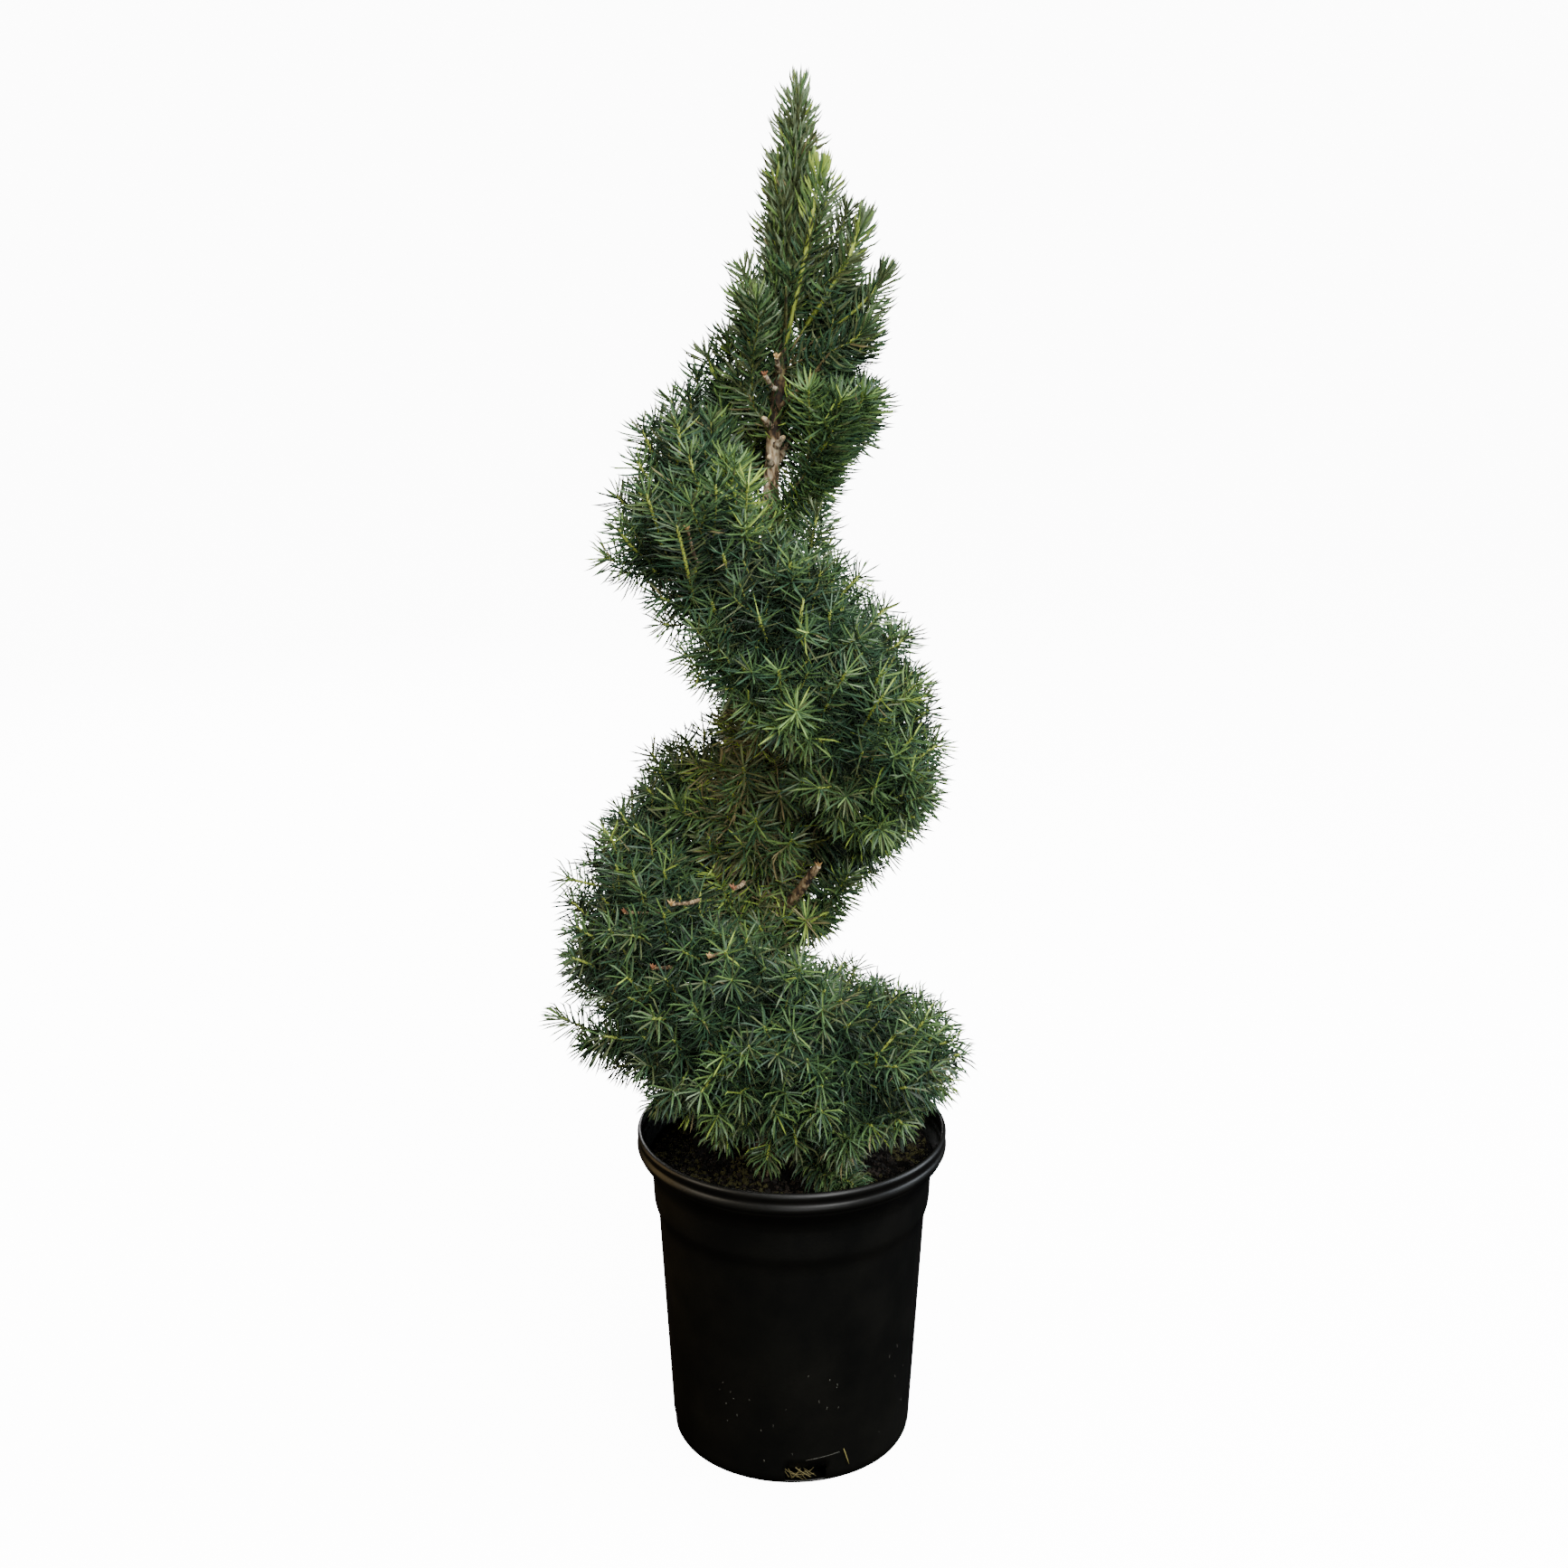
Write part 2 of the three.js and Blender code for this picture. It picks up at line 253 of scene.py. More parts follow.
def tubes(parts: MeshParts, centres: Array, ways: Array, radii: Array, sides: int, blunt: float) -> None:
    """Add round closed tubes along many paths of the same number of points.

    A ring's point is the centre plus the radius times (cos side + sin over). Each end closes in a
    point, which stands off the last ring by the radius times blunt.

    Args:
        parts: The mesh to add to.
        centres: Points along the paths, shaped (paths, points, 3).
        ways: Unit tangents there.
        radii: Radius at each point, shaped (paths, points).
        sides: Number of sides of a tube.
        blunt: How far each end stands out, in radii.
    """
    paths, rings, _ = centres.shape
    side, over = frames_along(ways)
    angle = 2 * np.pi * np.arange(sides) / sides
    spoke = np.cos(angle)[:, None] * side[:, :, None] + np.sin(angle)[:, None] * over[:, :, None]
    wall = centres[:, :, None] + radii[:, :, None, None] * spoke
    ends = np.stack(
        [
            centres[:, 0] - ways[:, 0] * radii[:, :1] * blunt,
            centres[:, -1] + ways[:, -1] * radii[:, -1:] * blunt,
        ],
        axis=1,
    )
    points = np.concatenate([wall.reshape(paths, rings * sides, 3), ends], axis=1)
    quads, fans = wall_faces(rings, sides)
    step = (np.arange(paths) * (rings * sides + 2))[:, None, None]
    parts.add(points, quads.reshape(1, -1, 4) + step, fans[None] + step)


def turned(profile: Array, angles: Array) -> tuple[Array, Array, Array]:
    """Turn a profile about Z into a closed surface with one point at each pole.

    A point of row i at angle a is (r cos a, r sin a, z). The profile runs anticlockwise as seen
    with the radius to the right, so the faces point outwards.

    Args:
        profile: Radius and height of each row. The first and last rows lie on the axis.
        angles: The columns' angles, anticlockwise.

    Returns:
        Points shaped (n, 3), quads shaped (rows, columns, 4) and pole triangles.
    """
    radius, height = profile[1:-1].T[..., None]
    grid = around(angles, radius, height)
    poles = np.array([[0, 0, profile[0, 1]], [0, 0, profile[-1, 1]]])
    return np.concatenate([grid.reshape(-1, 3), poles]), *wall_faces(len(radius), len(angles))


def node_triangles(name: str) -> Array:
    """Read a CAD node's triangles, shaped (n, 3, 3)."""
    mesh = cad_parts[name].data
    mesh.calc_loop_triangles()
    points = np.zeros(len(mesh.vertices) * 3, np.float32)
    mesh.vertices.foreach_get("co", points)
    corners = np.zeros(len(mesh.loop_triangles) * 3, np.int32)
    mesh.loop_triangles.foreach_get("vertices", corners)
    return points.reshape(-1, 3)[corners.reshape(-1, 3)].astype(float)


# ------------------------------ materials
def linear(hex_colour: str) -> tuple[float, float, float, float]:
    """Turn an sRGB hex colour to the linear red, green, blue and alpha that a shader takes."""
    parts = np.array([int(hex_colour[i : i + 2], 16) for i in (1, 3, 5)]) / 255
    value = np.where(parts <= 0.04045, parts / 12.92, ((parts + 0.055) / 1.055) ** 2.4)
    return (*value.tolist(), 1.0)


def feed(node: Node, **inputs: object) -> None:
    """Set a node's sockets to values or links, by name with _ for a space, or by _ and a number."""
    for name, value in inputs.items():
        socket = node.inputs[int(name[1:]) if name[1:].isdigit() else name.replace("_", " ")]
        if isinstance(value, Socket):
            node.id_data.links.new(value, socket)
        else:
            socket.default_value = value


def add_node(tree: Tree, kind: str, settings: dict | None = None, **inputs: object) -> Node:
    """Add a shader node.

    Args:
        tree: The material's node tree.
        kind: The node's type name.
        settings: Properties of the node itself.
        inputs: What feed sets.

    Returns:
        The new node.
    """
    node = tree.nodes.new(kind)
    for name, value in (settings or {}).items():
        setattr(node, name, value)
    feed(node, **inputs)
    return node


def new_material(name: str) -> tuple[bpy.types.Material, Tree, Node]:
    """Make an empty node material and its Principled shader.

    Args:
        name: The material's name.

    Returns:
        The material, its node tree and the shader node.
    """
    material = bpy.data.materials.new(name)
    material.use_nodes = True
    tree = material.node_tree
    tree.nodes.clear()
    shader = add_node(tree, "ShaderNodeBsdfPrincipled")
    add_node(tree, "ShaderNodeOutputMaterial", Surface=shader.outputs["BSDF"])
    return material, tree, shader


def colour_ramp(tree: Tree, value: Socket, stops: dict[float, str]) -> Socket:
    """Turn a value into a colour by a ramp.

    Args:
        tree: The material's node tree.
        value: The socket that the ramp reads.
        stops: Hex colours by their place from 0 to 1, in rising order.

    Returns:
        The ramp's colour socket.
    """
    node = add_node(tree, "ShaderNodeValToRGB", Fac=value)
    elements = node.color_ramp.elements
    while len(elements) < len(stops):
        elements.new(0.5)
    for element, (place, colour) in zip(elements, stops.items()):
        element.position = place
        element.color = linear(colour)
    return node.outputs["Color"]


def noise_socket(tree: Tree, place: Socket, size: float, detail: float, roughness: float = 0.5) -> Socket:
    """Add a noise whose largest patches are of a size, with finer layers by detail and roughness."""
    settings = {"Scale": 1 / size, "Detail": detail, "Roughness": roughness}
    return add_node(tree, "ShaderNodeTexNoise", Vector=place, **settings).outputs["Fac"]


def bump_socket(height: Socket, strength: float, depth: float) -> Socket:
    """Turn a height into a bump of the normal, at a strength and a depth."""
    bump = add_node(height.id_data, "ShaderNodeBump", Height=height, Strength=strength, Distance=depth)
    return bump.outputs["Normal"]


@dataclass(frozen=True)
class PlainFinish:
    """One plain colour and gloss, for small things that are joined by the thousand.

    Neighbouring tints stand in for a pattern, which wouldn't keep its place on such a piece.
    """

    name: str
    colour: str
    roughness: float
    ior: float = 1.37

    def material(self) -> bpy.types.Material:
        """Make the material, with every value on the shader's own sockets."""
        material, _, shader = new_material(self.name)
        feed(shader, Base_Color=linear(self.colour), Roughness=self.roughness, IOR=self.ior)
        return material


class Tint(Enum):
    """Colours of the needles, from the oldest inside the crown to the newest at its skin; the darker tints
    deep inside stand in part for older needles and in part for painted shade.
    """

    STRAW = PlainFinish("needles_dead_straw", "#7A7350", 0.75)
    OLIVE = PlainFinish("needles_old_olive", "#565F3C", 0.6)
    DEEP = PlainFinish("needles_deep_green", "#1A2A1B", 0.5)
    BLUE = PlainFinish("needles_blue_green", "#2D4733", 0.44)
    MID = PlainFinish("needles_mid_green", "#3C5536", 0.44)
    LEAF = PlainFinish("needles_leaf_green", "#4D693D", 0.43)
    FRESH = PlainFinish("needles_fresh_green", "#668145", 0.42)
    TIP = PlainFinish("needles_yellow_green_tips", "#93AA4C", 0.45)
    MOSS = PlainFinish("needles_moss_green", "#4D5738", 0.46)
    REED = PlainFinish("needles_reed_green", "#6C7D60", 0.44)


class Twig(Enum):
    """Kinds of twig, by their age."""

    BARK = PlainFinish("twig_bark_grey_brown", "#574B39", 0.85)
    TAN = PlainFinish("twig_bark_tan", "#6E6040", 0.75)
    DEAD = PlainFinish("twig_dead_grey_tan", "#7C6F54", 0.85)
    OLIVE = PlainFinish("twig_olive_green", "#6C7434", 0.6)
    GREEN = PlainFinish("twig_new_yellow_green", "#98A648", 0.5)


class Bud(Enum):
    """Colours of the dry bud scales."""

    TAN = PlainFinish("bud_scales_papery_tan", "#B08E5C", 0.6)
    RUSSET = PlainFinish("bud_scales_russet", "#80563C", 0.6)


@dataclass(frozen=True)
class BarkFinish:
    """Thin scaly spruce bark: grey-brown flakes over a redder layer, quite matt.

    With the height colouring, the bark is darker low down and above its bare stretch, where the crown
    closes round it: stain in part and painted shade in part. It is pale on the bare stretch and still green
    at the top.
    """

    name: str = "spruce_bark"
    height_stain_and_shade: bool = True
    flake_mm: float = 4.0
    stretch: float = 0.45
    roughness: float = 0.88

    def material(self) -> bpy.types.Material:
        """Make flakes from cells drawn out along the stem, with fine noise for the dust on them."""
        material, tree, shader = new_material(self.name)
        place = add_node(tree, "ShaderNodeTexCoord").outputs["Object"]
        mapping = add_node(tree, "ShaderNodeMapping", Vector=place, Scale=(1, 1, self.stretch))
        long_way = mapping.outputs["Vector"]
        edges = {"feature": "DISTANCE_TO_EDGE"}
        size = self.flake_mm * MM
        flakes = add_node(tree, "ShaderNodeTexVoronoi", edges, Vector=long_way, Scale=1 / size)
        mottle = noise_socket(tree, long_way, self.flake_mm * 2.5 * MM, 6.0, 0.65)
        sums = {"operation": "MULTIPLY_ADD"}
        half = add_node(tree, "ShaderNodeMath", sums, _0=flakes.outputs["Distance"], _1=0.5, _2=mottle)
        mixed = half.outputs[0]
        stops = {0.42: "#2A2018", 0.5: "#64523C", 0.57: "#A08F77", 0.7: "#D2CAB8"}
        height = add_node(tree, "ShaderNodeSeparateXYZ", Vector=place).outputs["Z"]
        # Darker low down and above the bare stretch, where the crown closes round the trunk: stain in part
        # and painted shade in part; pale on the bare stretch and green at the top.
        stain_and_painted_shade = {
            0.3: "#4A3E2C",
            0.62: "#6E6048",
            0.66: "#FFF8EA",
            0.71: "#F0E6D2",
            0.735: "#8F8064",
            0.79: "#66703A",
        }
        tinted = add_node(
            tree,
            "ShaderNodeMix",
            {"data_type": "RGBA", "blend_type": "MULTIPLY"},
            _0=1.0,
            _6=colour_ramp(tree, mixed, stops),
            _7=colour_ramp(tree, height, stain_and_painted_shade if self.height_stain_and_shade else {0.3: "#A8946A"}),
        )
        bump = bump_socket(mixed, 0.6, 0.6 * MM)
        feed(shader, Base_Color=tinted.outputs[2], Normal=bump, Roughness=self.roughness)
        return material


@dataclass(frozen=True)
class PotFinish:
    """Blow-moulded black polyethylene: satin, faintly rippled, with dry dust that dulls it in patches."""

    name: str = "black_polyethylene_satin"
    colour: str = "#090908"
    dusty: str = "#0F0E0A"
    dust_mm: float = 55.0
    ripple_mm: float = 7.0
    ior: float = 1.36

    def material(self) -> bpy.types.Material:
        """Make a near-black base with dust in soft patches, and a slow ripple for the moulding."""
        material, tree, shader = new_material(self.name)
        place = add_node(tree, "ShaderNodeTexCoord").outputs["Object"]
        dust = noise_socket(tree, place, self.dust_mm * MM, 8.0, 0.62)
        colour = colour_ramp(tree, dust, {0.38: self.colour, 0.78: self.dusty})
        gloss = add_node(
            tree,
            "ShaderNodeMapRange",
            Value=dust,
            From_Min=0.3,
            From_Max=0.8,
            To_Min=0.34,
            To_Max=0.5,
        )
        ripple = bump_socket(noise_socket(tree, place, self.ripple_mm * MM, 3.0), 0.25, 0.4 * MM)
        feed(shader, Base_Color=colour, Roughness=gloss.outputs["Result"], Normal=ripple, IOR=self.ior)
        return material


@dataclass(frozen=True)
class MixFinish:
    """Moist potting mix of peat and composted bark: dark brown, and dull all over."""

    name: str = "peat_and_bark_mix"
    grain_mm: float = 3.0
    roughness: float = 0.95
    ior: float = 1.2

    def material(self) -> bpy.types.Material:
        """Make the colour from two sizes of noise: clods and grains."""
        material, tree, shader = new_material(self.name)
        place = add_node(tree, "ShaderNodeTexCoord").outputs["Object"]
        grain = noise_socket(tree, place, self.grain_mm * MM, 7.0, 0.7)
        stops = {0.35: "#050403", 0.55: "#0B0806", 0.7: "#17110B", 0.88: "#2C2317"}
        feed(shader, Base_Color=colour_ramp(tree, grain, stops), Normal=bump_socket(grain, 0.9, 1.2 * MM))
        feed(shader, Roughness=self.roughness, IOR=self.ior)
        return material


def dress(piece: bpy.types.Object, material: bpy.types.Material, slot: str, *nodes: str) -> None:
    """Give a piece its material and body, and hide the CAD nodes that it stands for.

    Args:
        piece: The finished object.
        material: Its material.
        slot: Not used.
        nodes: CAD nodes that the piece replaces.
    """
    piece.data.materials.clear()
    piece.data.materials.append(material)
    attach(piece, "root")
    if nodes:
        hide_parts(*nodes)
    LOG.info("%s: %d faces", piece.name, len(piece.data.polygons))


def make_piece(parts: MeshParts, finish: PlainFinish, slot: str, *nodes: str, smooth: bool = True) -> None:
    """Build a piece that is named for its finish, and dress it."""
    dress(parts.build(finish.name, smooth), finish.material(), slot, *nodes)


def make_tubes(curves: tuple, sides: int, blunt: float, finish: PlainFinish, slot: str) -> None:
    """Build a piece of tubes from their points, tangents and radii, named for its finish."""
    parts = MeshParts()
    tubes(parts, *curves, sides, blunt)
    make_piece(parts, finish, slot)


# ------------------------------ the space of the crown
FOLIAGE = sorted(
    name
    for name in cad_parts
    if name.startswith("spiral_mass") or name.endswith(("plume", "shoot", "spray"))
)
BOUGHS = sorted(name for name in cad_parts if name.startswith("bough"))


@dataclass
class StemLine:
    """The trunk's centre and radius at each height, read from its level rings."""

    heights: Array
    centres: Array
    radii: Array

    @classmethod
    def from_node(cls, name: str) -> "StemLine":
        """Group a node's corners by height into rings.

        Args:
            name: The trunk's CAD node.

        Returns:
            The line through the rings' centres.
        """
        points = node_triangles(name).reshape(-1, 3)
        level = np.round(points[:, 2] / (0.1 * MM)).astype(int)
        heights, ring = np.unique(level, return_inverse=True)
        count = np.bincount(ring)
        lows = np.stack([np.full(len(count), np.inf)] * 2)
        highs = -lows
        for k in range(2):
            np.minimum.at(lows[k], ring, points[:, k])
            np.maximum.at(highs[k], ring, points[:, k])
        centres = (lows + highs).T / 2
        radii = (highs - lows).max(axis=0) / 2
        return cls(heights * 0.1 * MM, centres, radii)

    def at(self, height: Array) -> tuple[Array, Array]:
        """Give the centre point and the radius at each height."""
        x, y = (np.interp(height, self.heights, self.centres[:, k]) for k in range(2))
        return np.stack([x, y, height], axis=-1), np.interp(height, self.heights, self.radii)


@dataclass
class CrownSpace:
    """Where foliage may be: a grid of cells that lie inside the CAD foliage, and its soft edges."""

    cell: float = 4 * MM
    margin: int = 8
    tight_passes: int = 3
    wide_passes: int = 24

    def __post_init__(self) -> None:
        """Read the foliage nodes and fill the grid."""
        self.triangles = np.concatenate([node_triangles(name) for name in FOLIAGE])
        corners = self.triangles.reshape(-1, 3)
        # The grid stands a hair off round numbers, so no column runs exactly along an edge.
        self.low = corners.min(axis=0) - self.margin * self.cell + 1.7e-6
        size = (corners.max(axis=0) - corners.min(axis=0)) / self.cell
        self.shape = tuple(np.ceil(size).astype(int) + 2 * self.margin)
        inside = self.fill()
        self.tight = self.blur(inside, self.tight_passes)
        self.wide = self.blur(self.tight, self.wide_passes)
        self.slope = [np.gradient(self.wide, axis=k) for k in range(3)]
        LOG.info("crown space: %s cells, %.1f litres", self.shape, inside.sum() * self.cell**3 * 1000)

    def fill(self) -> Array:
        """Mark the cells inside the foliage.

        Every triangle is crossed by the upright lines through the cells' middles that pass within
        its outline. A cell is inside where the number of crossings below it is odd.

        Returns:
            A grid of 0 and 1.
        """
        flat = (self.triangles[:, :, :2] - self.low[:2]) / self.cell - 0.5
        first = np.ceil(flat.min(axis=1)).astype(int)
        span = np.maximum(np.floor(flat.max(axis=1)).astype(int) - first + 1, 0)
        count = span.prod(axis=1)
        which, order = numbered(count)
        column = first[which] + np.stack([order // span[which, 1], order % span[which, 1]], axis=1)
        a, b, c = (flat[which, k] for k in range(3))
        area = np.cross(b - a, c - a)
        v = np.cross(column - a, c - a) / np.where(area == 0, np.inf, area)
        w = np.cross(b - a, column - a) / np.where(area == 0, np.inf, area)
        hit = (v >= 0) & (w >= 0) & (v + w <= 1) & (area != 0)
        heights = self.triangles[which, :, 2]
        z = heights[:, 0] + v * (heights[:, 1] - heights[:, 0]) + w * (heights[:, 2] - heights[:, 0])
        level = np.ceil((z - self.low[2]) / self.cell - 0.5).astype(int)
        crossings = np.zeros(self.shape, np.int32)
        np.add.at(crossings, (column[hit, 0], column[hit, 1], level[hit]), 1)
        return (np.cumsum(crossings, axis=2) % 2).astype(np.float32)

    @staticmethod
    def blur(grid: Array, passes: int) -> Array:
        """Soften a grid: each pass takes a quarter, a half and a quarter of neighbours on each axis."""
        for _ in range(passes):
            for axis in range(3):
                grid = 0.5 * grid + 0.25 * (np.roll(grid, 1, axis) + np.roll(grid, -1, axis))
        return grid

    def sample(self, grid: Array, points: Array) -> Array:
        """Read a grid at any points, by blending the eight cells around each.

        Args:
            grid: Values by cell.
            points: Places, shaped (..., 3).

        Returns:
            One value for each point.
        """
        place = (points - self.low) / self.cell - 0.5
        place = np.clip(place, 0, np.array(self.shape) - 1.001)
        cell = place.astype(int)
        share = place - cell
        total = np.zeros(points.shape[:-1])
        for corner in np.ndindex(2, 2, 2):
            weight = np.where(np.array(corner) == 1, share, 1 - share).prod(axis=-1)
            at = cell + corner
            total += weight * grid[at[..., 0], at[..., 1], at[..., 2]]
        return total

    def scatter(self, random: np.random.Generator, count: int) -> Array:
        """Draw points evenly from the grid's box."""
        return random.uniform(self.low, self.low + np.array(self.shape) * self.cell, (count, 3))

    def inside(self, points: Array) -> Array:
        """Give 1 well inside the foliage, a half at its skin and 0 outside."""
        return self.sample(self.tight, points)

    def depth(self, points: Array) -> Array:
        """Give how deep points lie in the crown, from about 0.5 at its skin to 1 in its heart."""
        return self.sample(self.wide, points)

    def outward(self, points: Array) -> Array:
        """Give the direction straight out of the crown, down the slope of its soft edge."""
        return unit(-np.stack([self.sample(slope, points) for slope in self.slope], axis=-1))


def spread_out(points: Array, spacing: Array) -> Array:
    """Thin points so that none lies within another's spacing, keeping the earlier of two.

    Args:
        points: Candidates, in the order in which they are kept.
        spacing: The clear distance round each.

    Returns:
        The numbers of the points kept.
    """
    free = np.ones(len(points), bool)
    kept = []
    for i in range(len(points)):
        if free[i]:
            kept.append(i)
            free &= ((points - points[i]) ** 2).sum(axis=1) > spacing[i] ** 2
    return np.array(kept)


# ------------------------------ growth
@dataclass(frozen=True)
class Lead:
    """How the main shoot of one CAD plume, shoot or spray looks, and what stands round it."""

    fresh: float = 4 * MM
    club: float = 5 * MM
    short: float = 13 * MM  # how far its tip stays short of the node's end
    companions: int = 0
    highest: float = 0.7  # share of its height at which the highest companion ends
    front: float = 1.0  # how far the companions come round to the front
    leads: bool = True
    leave: float = 0.0  # height at which it leaves the trunk, or nothing where the rule finds a limb
    dry: float = 0.01


LEADS = {
    "leader_plume": Lead(club=18 * MM, companions=12, highest=0.86, front=0.2),
    "second_shoot": Lead(leads=False, companions=1, highest=0.6, front=0.0),
    "third_shoot": Lead(leads=False, companions=1, highest=0.6, front=0.0),
    "fourth_shoot": Lead(leads=False, companions=2, front=0.0),
    "left_top_shoot": Lead(short=21 * MM),
    "high_trunk_spray": Lead(leads=False, companions=2, front=0.0),
    "low_trunk_spray": Lead(companions=5, highest=0.9),
    "low_front_spray": Lead(fresh=22 * MM, short=6 * MM, companions=3, highest=0.9),
    "low_left_spray": Lead(fresh=5 * MM, club=9 * MM, companions=1, highest=0.5),
}


@dataclass(frozen=True)
class Fan:
    """Shoots that spread from one whorl of the trunk, the tallest upright, in mm and degrees."""

    foot: float
    count: int
    lean: Span  # from upright, of the first and the last
    length: Span
    fresh: Span  # share of the length that is bright new stem
    arc: Span  # turns round the trunk, from the right towards the back
    club: float = 8


@dataclass(frozen=True)
class Band:
    """Shoots that stand out from one stretch of the crown, at even heights, in mm and degrees.

    Where a band has no reach, its tips lie on the foliage's skin.
    """

    heights: Span
    arc: Span
    count: int
    fresh: Span = (4, 8)
    rise: float = 0.5
    reach: Span = (0, 0)
    stand: float = 0  # how far the tips stand off the skin
    leave: float = 0  # how far below its tip a shoot leaves the trunk, or nothing
    club: float = 4
    dry: Span = (0.01, 0.01)


FANS = (
    Fan(752, 4, (14, 64), (125, 68), (0.9, 0.25), (-38, 4), club=13),
    Fan(785, 5, (22, 58), (84, 48), (0.12, 0.2), (-34, 24)),
    Fan(655, 2, (34, 44), (86, 60), (0.3, 0.1), (-30, 10)),
)
BANDS = (
    # Short tufts up the leader's left side, and a dry one beside its tip.
    Band((798, 884), (165, 215), 8, rise=3.5, reach=(7, 13), leave=48, club=7),
    Band((888, 892), (-20, 20), 1, rise=1.1, reach=(7, 7), leave=20, dry=(0.8, 0.8)),
    # The upper turn's left side, where new shoots rise past the clipped line.
    Band((655, 735), (175, 250), 10, fresh=(4, 40), rise=1.8, stand=3),
    # The second turn's right side, with stars that face outwards.
    Band((490, 640), (-110, 0), 7, fresh=(4, 32), rise=0.5, stand=1),
    # The groove between the turns, whose shaded sprays have yellowed.
    Band((448, 517), (-160, -45), 10, rise=1.2, reach=(26, 58), dry=(0.05, 0.45)),
    Band((376, 406), (-190, -50), 9, rise=1.1, reach=(24, 50), dry=(0.1, 0.3)),
    # The lower turn and the skirt.
    Band((285, 428), (-185, -40), 16, fresh=(4, 26), rise=0.25, stand=2),
    # Shoots that hang in front of the mix and hide the trunk's foot.
    Band((246, 284), (-125, -40), 8, fresh=(4, 20), rise=-0.5, reach=(72, 106)),
)


@dataclass
class Targets:
    """Where shoots are to end: their tips, the directions there, and the looks of those that have any."""

    tips: Array
    ways: Array
    leads: list[Lead] = field(default_factory=list)


@dataclass
class Strands:
    """Many shoots, each a cubic curve, with what their needles and bark need to know."""

    control: Array
    foot_radius: Array
    tip_radius: Array
    order: Array
    tone: Array
    fresh: Array  # length of the bright new stem at the tip
    club: Array  # length over which the needles close to a tuft at the tip
    dry: Array  # share of the needles that have turned olive or straw

    @staticmethod
    def join(groups: list["Strands"]) -> "Strands":
        """Put several groups of strands together as one."""
        names = [entry.name for entry in fields(Strands)]
        return Strands(*(np.concatenate([getattr(group, name) for group in groups]) for name in names))

    def pick(self, chosen: Array) -> "Strands":
        """Keep only the chosen strands."""
        return Strands(*(getattr(self, entry.name)[chosen] for entry in fields(Strands)))

    def lengths(self) -> Array:
        """Measure each curve as nine straight steps."""
        points, _ = bezier(self.control, np.tile(np.linspace(0, 1, 10), (len(self.control), 1)))
        return np.linalg.norm(np.diff(points, axis=1), axis=2).sum(axis=1)


